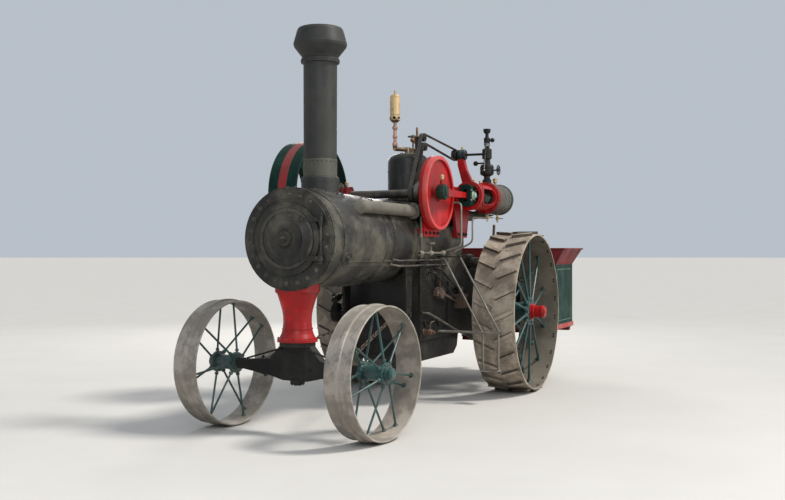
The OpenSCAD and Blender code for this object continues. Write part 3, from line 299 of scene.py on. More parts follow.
finishes = dict(
    # the boiler's sides get painted shade below 1.45 m, most of it below 1.15 m
    boilerBlack=dict(share=0.45, patchScale=1.6, dust=(0.165, 0.148, 0.110), upward=0.10, dustAmount=0.85,
        dustScale=1.9, streak=(0.06, 0.055, 0.04), wear=(0.15, 0.135, 0.105), rough=(0.26, 0.50),
        shine=0.34, shadeBelow=(1.15, 1.45)),
    smokeboxBlack=dict(main=(0.010, 0.010, 0.009), other=(0.026, 0.024, 0.019), share=0.45, patchScale=2.2,
        dust=(0.135, 0.122, 0.090), upward=0.10, dustAmount=0.6, dustScale=3.1,
        streak=(0.05, 0.046, 0.036), wear=(0.17, 0.15, 0.115), wearAmount=0.8, rough=(0.30, 0.54),
        shine=0.32),
    stackBlack=dict(main=(0.017, 0.018, 0.017), other=(0.027, 0.027, 0.024), patchScale=2.0,
        dust=(0.060, 0.058, 0.048), upward=0.3, streak=(0.05, 0.045, 0.034), streakAmount=0.4,
        rough=(0.45, 0.68), shine=0.3),
    domeBlack=dict(main=(0.011, 0.011, 0.010), other=(0.025, 0.025, 0.020), share=0.4, patchScale=2.5,
        dust=(0.10, 0.095, 0.062), upward=0.22, dustAmount=0.2, shine=0.35),
    frameBlack=dict(main=(0.007, 0.007, 0.0065), other=(0.015, 0.014, 0.012), share=0.4, patchScale=2.5,
        dust=(0.060, 0.055, 0.043), upward=0.2, dustAmount=0.2, streak=(0.045, 0.042, 0.034),
        wear=(0.11, 0.10, 0.08), wearAmount=0.4, rough=(0.36, 0.62), shine=0.22),
    engineRed=dict(main=(0.40, 0.007, 0.008), other=(0.25, 0.005, 0.006), share=0.45, patchScale=3.0,
        dust=(0.20, 0.045, 0.032), upward=0.10, dustAmount=0.2, streak=(0.05, 0.012, 0.010),
        streakAmount=0.3, wear=(0.085, 0.04, 0.03), wearMetal=0.2, rough=(0.28, 0.48), bump=0.06,
        coat=0.06, shine=0.24),
    dullRed=dict(main=(0.20, 0.010, 0.013), other=(0.11, 0.012, 0.012), patchScale=3.5,
        dust=(0.125, 0.045, 0.034), upward=0.3, streak=(0.05, 0.02, 0.016), wear=(0.08, 0.05, 0.045),
        rough=(0.42, 0.64), bump=0.08, shine=0.18),
    wheelGreen=dict(main=(0.014, 0.070, 0.066), other=(0.010, 0.040, 0.040), patchScale=4.0,
        dust=(0.15, 0.16, 0.13), upward=0.14, dustAmount=0.28, wear=(0.13, 0.13, 0.11), wearAmount=0.6,
        rough=(0.3, 0.52), bump=0.07, coat=0.2),
    bodyGreen=dict(main=(0.004, 0.036, 0.024), other=(0.003, 0.020, 0.015), patchScale=2.0,
        dust=(0.042, 0.056, 0.038), upward=0.14, dustAmount=0.14, streakAmount=0.12, wearAmount=0.35,
        rough=(0.40, 0.58), bump=0.05, shine=0.11),
    frontSteel=dict(main=(0.34, 0.305, 0.265), other=(0.20, 0.178, 0.152), share=0.45, patchScale=5.0,
        dust=(0.36, 0.31, 0.245), upward=0.2, dustAmount=0.45, dustScale=4.0, streakAmount=0.1,
        wear=(0.42, 0.39, 0.34), wearAmount=0.9, wearMetal=0.5, rough=(0.5, 0.78), metal=0.25, lumps=1.2,
        bump=0.22),
    # the rear rims carry painted shade on their lugs' sides and on their insides
    rearSteel=dict(main=(0.34, 0.285, 0.225), other=(0.18, 0.146, 0.112), patchScale=4.0,
        dust=(0.50, 0.43, 0.34), upward=0.15, dustAmount=0.7, streakAmount=0.1, wear=(0.46, 0.40, 0.32),
        wearAmount=0.9, wearMetal=0.3, rough=(0.62, 0.88), metal=0.1, lumps=1.6, bump=0.4, lugs=0.8),
    gearIron=dict(main=(0.03, 0.027, 0.025), other=(0.07, 0.055, 0.042), share=0.4,
        wear=(0.28, 0.26, 0.24), wearAmount=0.8, wearMetal=0.9, rough=(0.3, 0.55), metal=0.4, bump=0.15),
    shaftSteel=dict(main=(0.22, 0.215, 0.205), other=(0.10, 0.09, 0.075), share=0.4, upward=0.2,
        dustAmount=0.2, wear=(0.45, 0.44, 0.42), wearAmount=0.6, rough=(0.25, 0.5), metal=0.9, bump=0.05),
    whistleBrass=dict(main=(0.56, 0.40, 0.21), other=(0.40, 0.27, 0.13), share=0.4, patchScale=9.0,
        dust=(0.5, 0.42, 0.28), upward=0.2, streak=(0.20, 0.12, 0.06), wear=(0.68, 0.52, 0.3),
        wearAmount=0.4, wearMetal=0.8, rough=(0.34, 0.55), metal=0.45, bump=0.03),
    copperPipe=dict(main=(0.26, 0.125, 0.07), other=(0.10, 0.06, 0.04), patchScale=7.0,
        dust=(0.2, 0.16, 0.12), wear=(0.5, 0.28, 0.16), wearMetal=1.0, rough=(0.32, 0.55), metal=0.7,
        bump=0.05),
    pipeDust=dict(main=(0.060, 0.054, 0.043), other=(0.10, 0.092, 0.074), patchScale=3.0,
        dust=(0.18, 0.163, 0.128), upward=0.4, dustAmount=0.3, rough=(0.5, 0.75)),
    rustBrown=dict(main=(0.10, 0.045, 0.026), other=(0.055, 0.034, 0.024), dust=(0.2, 0.15, 0.11),
        wear=(0.16, 0.1, 0.07), rough=(0.55, 0.8), bump=0.25),
    planks=dict(main=(0.14, 0.10, 0.065), other=(0.075, 0.052, 0.034), patchScale=4.0,
        dust=(0.23, 0.19, 0.14), upward=0.55, dustAmount=0.3, wear=(0.24, 0.19, 0.13), wearMetal=0.0,
        rough=(0.6, 0.85), coarse=20.0, bump=0.3),
    belting=dict(main=(0.028, 0.022, 0.018), other=(0.05, 0.038, 0.028), share=0.4, patchScale=2.5,
        wear=(0.09, 0.07, 0.05), wearMetal=0.0, rough=(0.5, 0.75), bump=0.15),
    lagging=dict(main=(0.038, 0.053, 0.041), other=(0.028, 0.036, 0.029), patchScale=3.0,
        dust=(0.11, 0.112, 0.085), upward=0.3, dustAmount=0.3, wear=(0.13, 0.12, 0.1), rough=(0.3, 0.55),
        bump=0.05, coat=0.1),
    stackFoot=dict(main=(0.034, 0.036, 0.028), other=(0.052, 0.052, 0.038), patchScale=3.0,
        dust=(0.12, 0.115, 0.085), dustAmount=0.3, rough=(0.5, 0.72)),
    domeTop=dict(main=(0.045, 0.046, 0.030), other=(0.075, 0.075, 0.045), dust=(0.17, 0.165, 0.105),
        upward=0.8, dustAmount=0.3, rough=(0.45, 0.7)),
    whistlePipe=dict(main=(0.42, 0.23, 0.16), other=(0.26, 0.14, 0.10), share=0.4, patchScale=9.0,
        dust=(0.4, 0.33, 0.26), upward=0.2, wear=(0.6, 0.4, 0.3), wearMetal=0.9, metal=0.55, bump=0.04),
    darkElbow=dict(main=(0.075, 0.050, 0.034), other=(0.14, 0.085, 0.055), share=0.45, patchScale=9.0,
        dust=(0.2, 0.16, 0.12), upward=0.3, wear=(0.3, 0.2, 0.14), wearMetal=0.7, rough=(0.38, 0.6),
        metal=0.4, bump=0.1),
    brownBand=dict(main=(0.095, 0.036, 0.028), other=(0.070, 0.040, 0.032), patchScale=5.0,
        dust=(0.13, 0.10, 0.082), upward=0.3, dustAmount=0.3, wear=(0.2, 0.09, 0.06), wearMetal=0.0,
        rough=(0.35, 0.6), bump=0.08),
    # the disc's rim and the outer band of its face are painted paler red: a painted highlight
    discEdge=dict(main=(0.50, 0.022, 0.022), other=(0.40, 0.016, 0.016), share=0.4, patchScale=4.0,
        dust=(0.42, 0.16, 0.12), upward=0.2, dustAmount=0.3, wear=(0.45, 0.2, 0.16), wearMetal=0.0,
        bump=0.05, coat=0.3),
    stripeRed=dict(main=(0.27, 0.012, 0.014), other=(0.16, 0.010, 0.010), patchScale=4.0,
        dust=(0.17, 0.11, 0.09), upward=0.3, rough=(0.35, 0.6)),
    trimRed=dict(main=(0.42, 0.055, 0.050), other=(0.30, 0.030, 0.028), patchScale=5.0,
        dust=(0.32, 0.2, 0.16), upward=0.4, dustAmount=0.35, wear=(0.2, 0.1, 0.08), wearMetal=0.0,
        rough=(0.4, 0.65), bump=0.08),
    bigEndGreen=dict(main=(0.004, 0.021, 0.012), other=(0.003, 0.012, 0.008), share=0.4, patchScale=9.0,
        dust=(0.045, 0.055, 0.038), upward=0.15, dustAmount=0.15, wear=(0.06, 0.06, 0.04), wearAmount=0.3,
        rough=(0.35, 0.55), bump=0.04, shine=0.2),
    glandGreen=dict(main=(0.13, 0.20, 0.16), other=(0.07, 0.11, 0.09), share=0.4, patchScale=9.0,
        dust=(0.2, 0.2, 0.16), bump=0.04, coat=0.2),
    knobGreen=dict(main=(0.34, 0.46, 0.36), other=(0.20, 0.30, 0.24), share=0.4, patchScale=12.0,
        dust=(0.35, 0.34, 0.28), upward=0.2, dustAmount=0.15, rough=(0.25, 0.45), bump=0.03, coat=0.3),
    pinstripe=dict(main=(0.10, 0.22, 0.165), other=(0.06, 0.14, 0.11), share=0.4, dust=(0.15, 0.16, 0.13),
        dustAmount=0.2, wearAmount=0.2, rough=(0.35, 0.55), bump=0.03),
    chainIron=dict(main=(0.035, 0.030, 0.026), other=(0.075, 0.050, 0.034), patchScale=14.0,
        dust=(0.15, 0.12, 0.09), upward=0.3, dustAmount=0.3, wear=(0.22, 0.2, 0.17), wearAmount=0.6,
        rough=(0.4, 0.65), metal=0.35, bump=0.15),
    palePipe=dict(main=(0.27, 0.25, 0.205), other=(0.17, 0.155, 0.125), dust=(0.33, 0.3, 0.24), upward=0.4,
        dustAmount=0.3, wear=(0.4, 0.37, 0.3), wearMetal=0.4, rough=(0.4, 0.65), metal=0.2, bump=0.1),
    paleBracket=dict(main=(0.20, 0.19, 0.165), other=(0.11, 0.10, 0.085), dust=(0.27, 0.25, 0.2),
        upward=0.4, dustAmount=0.3, rough=(0.5, 0.75)),
    dialPaper=dict(main=(0.62, 0.60, 0.52), other=(0.50, 0.47, 0.38), share=0.3, patchScale=14.0,
        dustAmount=0.1, streakAmount=0.1, wearAmount=0.0, rough=(0.3, 0.4), bump=0.01),
    gaugeGlass=dict(main=(0.30, 0.36, 0.34), other=(0.24, 0.30, 0.28), share=0.4, patchScale=2.5,
        dustAmount=0.15, wearAmount=0.0, rough=(0.05, 0.12), bump=0.0, coat=1.0),
    # paler black for lips, rivets and bolt heads: partly wear, partly a painted highlight
    wornLip=dict(main=(0.058, 0.053, 0.040), other=(0.022, 0.020, 0.016), patchScale=5.0,
        dust=(0.15, 0.135, 0.10), upward=0.4, dustAmount=0.5, wear=(0.22, 0.19, 0.14), wearAmount=0.7,
        rough=(0.4, 0.6)),
    # near-black finish for the discs inside the whistle's holes: painted shade
    soot=dict(main=(0.008, 0.008, 0.008), other=(0.014, 0.013, 0.012), share=0.4, patchScale=2.5,
        upward=0.0, dustAmount=0.0, wearAmount=0.0, rough=(0.8, 0.95)),
)
# painted shade colours: the lugs' sides, the rear rims' insides, and the boiler's lower sides
lugSideShade, rimInsideShade, shadeBlack = (0.035, 0.026, 0.019), (0.095, 0.086, 0.066), (0.005, 0.005, 0.0045)
coatRough, bumpDepth, dustRough = 0.25, 0.004, 0.3
shadeDustShare, shadeBelowAmount = 0.07, 0.7           # painted shade on the boiler's lower sides: how much dust stays there, and how far the colour is darkened


def makeFinish(name, own):
    f = dict(plainFinish, **own)
    made = bpy.data.materials.new(name)
    made.use_nodes = True
    tree = made.node_tree
    tree.nodes.clear()
    where = addNode(tree, "TexCoord").outputs["Object"]

    def effect(group, **keys):
        return useGroup(tree, group, {"Vector": where, **{socket: f[key] for socket, key in keys.items()}})

    f.update({key: rgba(f[key]) for key in ("main", "other", "streak", "dust", "wear")})
    base = effect(mottle, Main="main", Other="other", Scale="patchScale", Share="share")
    streaks = effect(runStreaks, Amount="streakAmount", Width="streakWidth")
    dusty = effect(settledDust, Upward="upward", Amount="dustAmount", Scale="dustScale")["Mask"]
    edges = effect(wornEdges, Radius="wearRadius", Amount="wearAmount")
    grain = effect(surfaceGrain, Fine="fine", Coarse="coarse", Lumps="lumps")
    layers = [(edges["Mask"], f["wear"])]
    if f["shadeBelow"]:                       # painted shade: less dust and a darker colour towards the bottom of the boiler's sides
        height = addNode(tree, "SeparateXYZ", {0: where}).outputs["Z"]
        dusty = times(tree, dusty, stepNode(tree, height, *f["shadeBelow"], shadeDustShare, 1.0))
        layers.append((stepNode(tree, height, *f["shadeBelow"], shadeBelowAmount, 0.0), rgba(shadeBlack)))
    if f["lugs"]:                       # painted shade on the sides of the lugs and inside the rear rims
        hub = cadNodes["rear_rim_left"].matrix_world.inverted() @ middle("rear_rim_left")
        aside = vectorNode(tree, "SUBTRACT", where, tuple(hub))
        rimShading = useGroup(tree, lugShade, {"Vector": aside, "Amount": f["lugs"]})
        layers += [(rimShading["Mask"], rgba(lugSideShade)), (rimShading["Inside"], rgba(rimInsideShade))]
    colour = base["Color"]
    for mask, tint in [(streaks["Mask"], f["streak"]), (dusty, f["dust"])] + layers:
        colour = mixColour(tree, mask, colour, tint)
    rough = stepNode(tree, noiseNode(tree, where, 4.0, 5.0, 0.65), 0.3, 0.7, *f["rough"])
    rough = mathNode(tree, "ADD", rough, times(tree, dusty, dustRough), True)
    bright = times(tree, edges["Mask"], f["wearMetal"] - f["metal"])
    metal = mathNode(tree, "ADD", bright, f["metal"])
    metal = mathNode(tree, "SUBTRACT", metal, times(tree, dusty, f["metal"]), True)
    bump = addNode(tree, "Bump", {"Height": grain["Height"], "Normal": edges["Normal"],
                                  "Strength": f["bump"], "Distance": bumpDepth})
    shader = addNode(tree, "BsdfPrincipled", {
        "Base Color": colour, "Roughness": rough, "Metallic": metal, "Normal": bump.outputs["Normal"],
        "Specular IOR Level": f["shine"], "Coat Weight": f["coat"], "Coat Roughness": coatRough})
    addNode(tree, "OutputMaterial", {"Surface": shader.outputs["BSDF"]})
    return made


material = {name: makeFinish(name, own) for name, own in finishes.items()}
print("finishes made: %d" % len(material))

nodesOf = dict(                         # the frame's nodes under each finish
    boilerBlack="boiler", smokeboxBlack="smokebox smokebox_door door_hinge", stackBlack="stack",
    domeBlack="steam_dome", whistleBrass="whistle", copperPipe="safety_valve", rustBrown="feed_pump",
    pipeDust="dome_valve exhaust_pipe side_pipes", lagging="steam_cylinder", shaftSteel="valve_gear",
    frameBlack="ash_pan fire_door front_axle rear_axle side_plates gear_stud governor belt_idlers "
               "steering_roller steering_shaft levers",
    engineRed="front_pedestal hub_cap_left hub_cap_right crank_disc engine_frame connecting_rod",
    dullRed="crank_bearing_right bunker_flare frame_beams", belting="governor_belt", planks="deck",
    gearIron="grate bull_gear_left bull_gear_right countershaft main_gear intermediate_gear crankshaft "
             "steering_chain_left steering_chain_right",
    bodyGreen="flywheel crosshead water_tank bunker", paleBracket="side_step",
    wheelGreen="front_spokes_left front_spokes_right rear_spokes_left rear_spokes_right",
    frontSteel="front_rim_left front_rim_right", rearSteel="rear_rim_left rear_rim_right",
)

for finish, names in nodesOf.items():
    for name in names.split():
        data = cadNodes[name].data
        data.materials.clear()
        data.materials.append(material[finish])


def makeFloor():
    bpy.ops.mesh.primitive_plane_add(size=400, location=(0, 0, 0))
    floor = bpy.context.object
    floor.name = "studioFloor"
    made = bpy.data.materials.new("paleFloor")
    made.use_nodes = True
    tree = made.node_tree
    shader = tree.nodes["Principled BSDF"]
    cloud = noiseNode(tree, addNode(tree, "TexCoord").outputs["Object"], 1.2, 5.0, 0.6)
    pale = mixColour(tree, cloud, rgba((0.44, 0.425, 0.40)), rgba((0.50, 0.485, 0.46)))
    tree.links.new(pale, shader.inputs["Base Color"])
    shader.inputs["Roughness"].default_value = 0.9
    floor.data.materials.append(made)


# Shapes are gathered as points and faces, and each face keeps the name of its finish.
# A shape has a main finish, which a helper uses where it is given none.

def newShape(finish):
    return dict(points=[], faces=[], finish=[], main=finish)


def addFaces(shape, points, faces, finish=None):
    first = len(shape["points"])
    shape["points"] += points
    shape["faces"] += [[first + i for i in face] for face in faces]
    shape["finish"] += [finish or shape["main"]] * len(faces)


def facing(point, direction, spin=0.0):
    turn = Vector(direction).to_track_quat("Z", "Y").to_matrix().to_4x4()
    return Matrix.Translation(point) @ turn @ Matrix.Rotation(spin, 4, "Z")


def turnsOf(count, start=0.0):
    return [start + 2 * math.pi * k / count for k in range(count)]


def polar(radius, angle, height=0.0):
    return Vector((radius * math.cos(angle), radius * math.sin(angle), height))


def lathe(shape, point, direction, profile, turns=16, finish=None, spin=0.0, squash=1.0):
    place = facing(point, direction, spin) @ Matrix.Diagonal((1.0, squash, 1.0, 1.0))
    points, rings, faces = [], [], []
    for radius, height in profile:      # rows run so that the solid lies to their left
        count = turns if radius else 1
        rings.append([len(points) + i % count for i in range(turns)])
        points += [place @ polar(radius, a, height) for a in turnsOf(count)]
    for (low, high), i in product(zip(rings, rings[1:]), range(turns)):
        j = (i + 1) % turns
        face = list(dict.fromkeys([low[i], low[j], high[j], high[i]]))
        if len(face) > 2:
            faces.append(face)
    addFaces(shape, points, faces, finish)


def tube(shape, path, radius, sides=10, closed=False, finish=None):
    count = len(path)
    points, faces, side = [], [], None
    for i, p in enumerate(path):
        before = path[i - 1] if i or closed else p
        after = path[(i + 1) % count] if i + 1 < count or closed else p
        along = (after - before).normalized()
        side = along.orthogonal() if side is None else side - along * side.dot(along)
        side.normalize()
        across = along.cross(side)
        points += [p + (side * math.cos(a) + across * math.sin(a)) * radius for a in turnsOf(sides)]
    for i, k in product(range(count if closed else count - 1), range(sides)):
        low, high, n = i * sides, (i + 1) % count * sides, (k + 1) % sides
        faces.append([low + k, low + n, high + n, high + k])
    if not closed:
        faces += [list(range(sides))[::-1], list(range((count - 1) * sides, count * sides))]
    addFaces(shape, points, faces, finish)


def bent(corners, bend, steps=5):
    path = [corners[0]]
    for before, corner, after in zip(corners, corners[1:], corners[2:]):
        cut = min(bend, (corner - before).length / 2, (after - corner).length / 2)
        start = corner + (before - corner).normalized() * cut
        end = corner + (after - corner).normalized() * cut
        for t in (k / steps for k in range(steps + 1)):
            path.append(start * (1 - t) ** 2 + corner * 2 * t * (1 - t) + end * t * t)
    return path + [corners[-1]]


def slab(shape, low, high, cut=0.002, finish=None):     # a box with its edges cut off
    centre, half = (low + high) / 2, (high - low) / 2
    points, index, faces = [], {}, []
    for corner, axis in product(product((-1, 1), repeat=3), range(3)):
        index[corner, axis] = len(points)
        points.append(centre + Vector([corner[k] * (half[k] - (k != axis) * cut) for k in range(3)]))
        if axis == 2:
            faces.append([len(points) - 3, len(points) - 2, len(points) - 1])

    def cornerAt(axis, along, a, b):
        corner = (along, a, b)
        return corner[-axis:] + corner[:-axis]

    for axis in range(3):
        u, v = (axis + 1) % 3, (axis + 2) % 3
        for along in (-1, 1):
            faces.append([index[cornerAt(axis, along, a, b), axis]
                          for a, b in ((-1, -1), (1, -1), (1, 1), (-1, 1))])
        for a, b in product((-1, 1), repeat=2):
            one, two = cornerAt(axis, -1, a, b), cornerAt(axis, 1, a, b)
            faces.append([index[one, u], index[two, u], index[two, v], index[one, v]])
    addFaces(shape, points, [outward(points, face, centre) for face in faces], finish)


def outward(points, face, centre):
    a, b, c = (points[i] for i in face[:3])
    away = sum((points[i] for i in face), Vector()) / len(face) - centre
    return face if (b - a).cross(c - a).dot(away) > 0 else face[::-1]


def rivet(shape, point, direction, r, finish=None):
    lathe(shape, point, direction, [(r, -0.001), (r * 0.92, r * 0.3), (r * 0.55, r * 0.58), (0, r * 0.68)],
          8, finish)


def nut(shape, point, direction, r, stud=0.5, spin=0.0, finish=None):
    end = r * (1 + stud)
    for turns, profile in (
            (12, [(r * 1.35, -0.001), (r * 1.35, r * 0.18), (0, r * 0.18)]),
            (6, [(r, r * 0.16), (r, r * 0.9), (r * 0.82, r), (0, r)]),
            (8, [(r * 0.5, r), (r * 0.5, r * (1 + stud * 0.8)), (r * 0.35, end), (0, end)])):
        lathe(shape, point, direction, profile, turns, finish, spin)


def ball(shape, centre, radius, turns=14, finish=None):
    rows = [(radius * math.sin(a), -radius * math.cos(a)) for a in (math.pi * k / 8 for k in range(1, 8))]
    lathe(shape, centre, up, [(0, -radius), *rows, (0, radius)], turns, finish)


def roundSpots(centre, axis, radius, count, start=0.0, outwards=False):
    turn = facing(centre, axis).to_3x3()
    for a in turnsOf(count, start):
        reach = turn @ polar(1, a)
        yield centre + reach * radius, (reach if outwards else axis)


def rowSpots(start, end, count, normal):
    for i in range(count):
        yield at(*start).lerp(at(*end), i / (count - 1)), normal


def rivets(shape, spots, radius, finish=None):
    for point, normal in spots:
        rivet(shape, point, normal, radius, finish)


def rivetRow(shape, start, end, count, normal, radius, finish=None):
    rivets(shape, rowSpots(start, end, count, normal), radius, finish)


def nuts(shape, spots, size, stud=0.5, finish=None):
    for i, (point, normal) in enumerate(spots):
        nut(shape, point, normal, size, stud, 0.7 * i, finish)


def nutRing(shape, centre, axis, radius, count, size, start=0.0, stud=0.5, finish=None):
    nuts(shape, roundSpots(centre, axis, radius, count, start), size, stud, finish)


def band(shape, centre, axis, inner, outer, half, turns=72, finish=None):
    lathe(shape, centre, axis, [(inner, -half), (outer, -half), (outer, half), (inner, half)], turns, finish)


cupRows = ((0.3, 0.5), (0.8, 0.8), (1, 1), (1, 2.3), (1.12, 2.35), (1.12, 2.65), (0.6, 2.95), (0.25, 3),
           (0.22, 3.3), (0, 3.35))


def oilCup(shape, foot, size):
    profile = [(size * 0.3, -0.004)] + [(size * r, size * z) for r, z in cupRows]
    lathe(shape, foot, up, profile, 14, "whistleBrass")


def hoop(shape, centre, axis, radius, wire, steps, finish=None):
    place = facing(centre, axis)
    tube(shape, [place @ polar(radius, a) for a in turnsOf(steps)], wire, 8, True, finish)


def handWheel(shape, centre, axis, radius, wire, arms=5, finish=None):
    hoop(shape, centre, axis, radius, wire, 28, finish)
    lathe(shape, centre, axis, [(wire * 2.2, -wire * 2), (wire * 2.2, wire * 2), (0, wire * 2)], 12, finish)
    for a in turnsOf(arms):
        tube(shape, [centre, facing(centre, axis) @ polar(radius, a)], wire * 0.75, 6, finish=finish)


def makePiece(name, body, shape):
    mesh = bpy.data.meshes.new(name)
    mesh.from_pydata([tuple(p) for p in shape["points"]], [], shape["faces"])
    names = sorted(set(shape["finish"]))
    for finish in names:
        mesh.materials.append(material[finish])
    mesh.polygons.foreach_set("material_index", [names.index(f) for f in shape["finish"]])
    mesh.polygons.foreach_set("use_smooth", [True] * len(mesh.polygons))
    mesh.set_sharp_from_angle(angle=math.radians(38))
    mesh.update()
    piece = bpy.data.objects.new(name, mesh)
    scene.collection.objects.link(piece)
    if body:
        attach(piece, body)
    return piece


# Smokebox, its door and the stack

boilerZ, seamZ = 1.61, 1.40             # centre line of the boiler, and its lower side seam


def onBarrel(x, z, radius, side=1):
    across = math.sqrt(radius * radius - (z - boilerZ) ** 2)
    return at(x, side * across, z), Vector((0, side * across, z - boilerZ)).normalized()


def barrelSeam(s, start, step, count, radius, apart):
    for side, row, i in product((-1, 1), (-apart, apart), range(count)):
        # seam rivets in the paler finish: partly wear, partly a painted highlight
        rivet(s, *onBarrel(start + i * step, seamZ + row, radius, side), 0.010, "wornLip")


smokeboxTrim = dict(
    faceX=3.32, radius=0.415, faceRing=(0.332, 0.398, 0.006), faceBolts=22, boltSize=0.013,
    bands=((3.1025, 0.006), (3.2915, 0.012), (2.328, 0.0)), bandRivets=40, seam=(2.37, 0.03, 26),
    handHole=(3.03, 1.455), stackX=2.78, saddle=(0.166, 0.215, 0.012), saddleSteps=48, saddleBolts=12,
    lid=[(0.085, -0.008), (0.085, 0.010), (0.078, 0.014), (0.066, 0.014), (0.06, 0.009), (0, 0.009)],
    boltRing=0.193, hinge=(0.318, 0.157),
)


def makeSmokeboxTrim(t):
    s = newShape("smokeboxBlack")
    face = at(t["faceX"], 0, boilerZ)
    inner, outer, thick = t["faceRing"]
    lathe(s, face, ahead, [(outer + 0.004, 0), (outer, thick), (inner, thick), (inner, 0)], 72)
    for point, normal in roundSpots(face, ahead, (inner + outer) / 2, t["faceBolts"], 0.1):
        if abs(point.y - t["hinge"][0]) > 0.05 or abs(abs(point.z - face.z) - t["hinge"][1]) > 0.075:
            # face bolts in the paler finish: partly wear, partly a painted highlight
            nut(s, point + normal * thick, normal, t["boltSize"], spin=point.z * 9, finish="wornLip")
    for x, proud in t["bands"]:
        spots = roundSpots(at(x, 0, boilerZ), ahead, t["radius"] + proud, t["bandRivets"], 0.05, True)
        rivets(s, spots, 0.009)
    barrelSeam(s, *t["seam"], t["radius"], 0.018)
    point, normal = onBarrel(*t["handHole"], t["radius"])
    lathe(s, point, normal, t["lid"], 32, squash=0.66)
    nut(s, point + normal * 0.009, normal, 0.015, 1.0)
    tube(s, [point + normal * out + up * z for out, z in ((0.013, -0.05), (0.018, 0), (0.013, 0.05))], 0.008)

    def onSaddle(reach, angle, lift):   # the stack's saddle follows the round top
        y = reach * math.sin(angle)
        z = boilerZ + math.sqrt(t["radius"] ** 2 - y * y) + lift
        return at(t["stackX"] + reach * math.cos(angle), y, z)

    inner, outer, thick = t["saddle"]
    rows = ((inner, thick + 0.008), (outer - 0.006, thick), (outer, -0.002))
    points = [onSaddle(reach, a, lift) for a in turnsOf(t["saddleSteps"]) for reach, lift in rows]
    pairs = [(k + row, (k + 3) % len(points) + row) for k in range(0, len(points), 3) for row in (0, 1)]
    addFaces(s, points, [[low, low + 1, high + 1, high] for low, high in pairs], "stackBlack")
    for a in turnsOf(t["saddleBolts"], math.pi / t["saddleBolts"]):
        spot = onSaddle(t["boltRing"], a, thick)
        nut(s, spot, (0, spot.y, spot.z - boilerZ - thick), 0.010, finish="stackBlack")
    makePiece("smokebox_trim", "engine", s)


doorTrim = dict(
    faceX=3.32, edge=0.279, rivets=28, strapY=(0.15, 0.285), strapZ=0.157,
    lip=[(0.250, 0.026), (0.250, 0.037), (0.242, 0.041), (0.230, 0.041), (0.222, 0.037), (0.222, 0.03)],
)


def makeDoorTrim(t):
    s = newShape("smokeboxBlack")
    centre = at(t["faceX"], 0, boilerZ)
    for point, normal in roundSpots(centre + ahead * 0.0245, ahead, t["edge"], t["rivets"], 0.06):
        if abs(abs(point.z - centre.z) - t["strapZ"]) > 0.03 or point.y < 0.1:
            rivet(s, point, normal, 0.0085)
    lathe(s, centre, ahead, t["lip"], 72, "wornLip")        # lip round the dish painted pale: partly wear, partly a painted highlight
    nut(s, centre + ahead * 0.095, ahead, 0.026, 0.8)
    for z, y in product((-t["strapZ"], t["strapZ"]), t["strapY"]):
        nut(s, centre + Vector((0.044, y, z)), ahead, 0.011, spin=y * 9)
    makePiece("door_trim", "smoke_door", s)


stackTrim = dict(x=2.78, footZ=2.14, radius=0.143, lapZ=2.30, seamTop=3.09, seamRivets=22, eyeZ=2.506,
                 rings=((2.11, 0.165, 18, 0.008), (2.282, 0.147, 24, 0.006), (3.15, 0.167, 24, 0.006)))


def makeStackTrim(t):
    s = newShape("stackBlack")
    foot, reach, lap = at(t["x"], 0, 0), t["radius"], t["lapZ"]
    for z, radius, count, size in t["rings"]:
        rivets(s, roundSpots(foot + up * z, up, radius, count, 0.1, True), size)
    lathe(s, foot, up, [(reach + 0.002, t["footZ"]), (reach + 0.004, lap), (reach, lap + 0.003)], 64,
          "stackFoot")
    back = t["x"] - reach - 0.001
    for y in (-0.016, 0.016):           # seam down the back
        rivetRow(s, (back, y, lap + 0.04), (back, y, t["seamTop"]), t["seamRivets"], -ahead, 0.006)
    eye = at(t["x"] - reach, 0.03, t["eyeZ"])
    tube(s, [eye + ahead * 0.01, eye - ahead * 0.05], 0.009, finish="frameBlack")     # eye for a stay
    ball(s, eye - ahead * 0.056, 0.016, finish="frameBlack")
    makePiece("stack_trim", "engine", s)


# Barrel, firebox and dome

barrelTrim = dict(
    straps=(1.515, 2.08), radius=0.4, strapRivets=44, seam=(1.57, 0.0318, 22), side=0.385,
    sideRows=[((0.86 + 0.56 * i / 6, 0.73), (0.86 + 0.56 * i / 6, 1.33), 7, 0.010) for i in range(7)]
    + [((0.82, 0.67), (1.45, 0.67), 14, 0.008), ((1.45, 0.72), (1.45, 1.42), 15, 0.008)],
    mudHoles=(0.99, 1.33), mudLid=[(0.06, -0.002), (0.06, 0.012), (0.05, 0.018), (0, 0.018)],
    ends=((1.48, 1, 9, (0.70, 0.95, 1.17)), (0.33, -1, 8, (1.05, 1.15, 1.25, 1.35))), back=0.33,
    domeX=0.9, flangeZ=2.035, topZ=2.51, ringZ=2.33,
    domeLid=[(0.098, -0.012), (0.098, 0.004), (0.09, 0.008), (0.04, 0.008)],
)


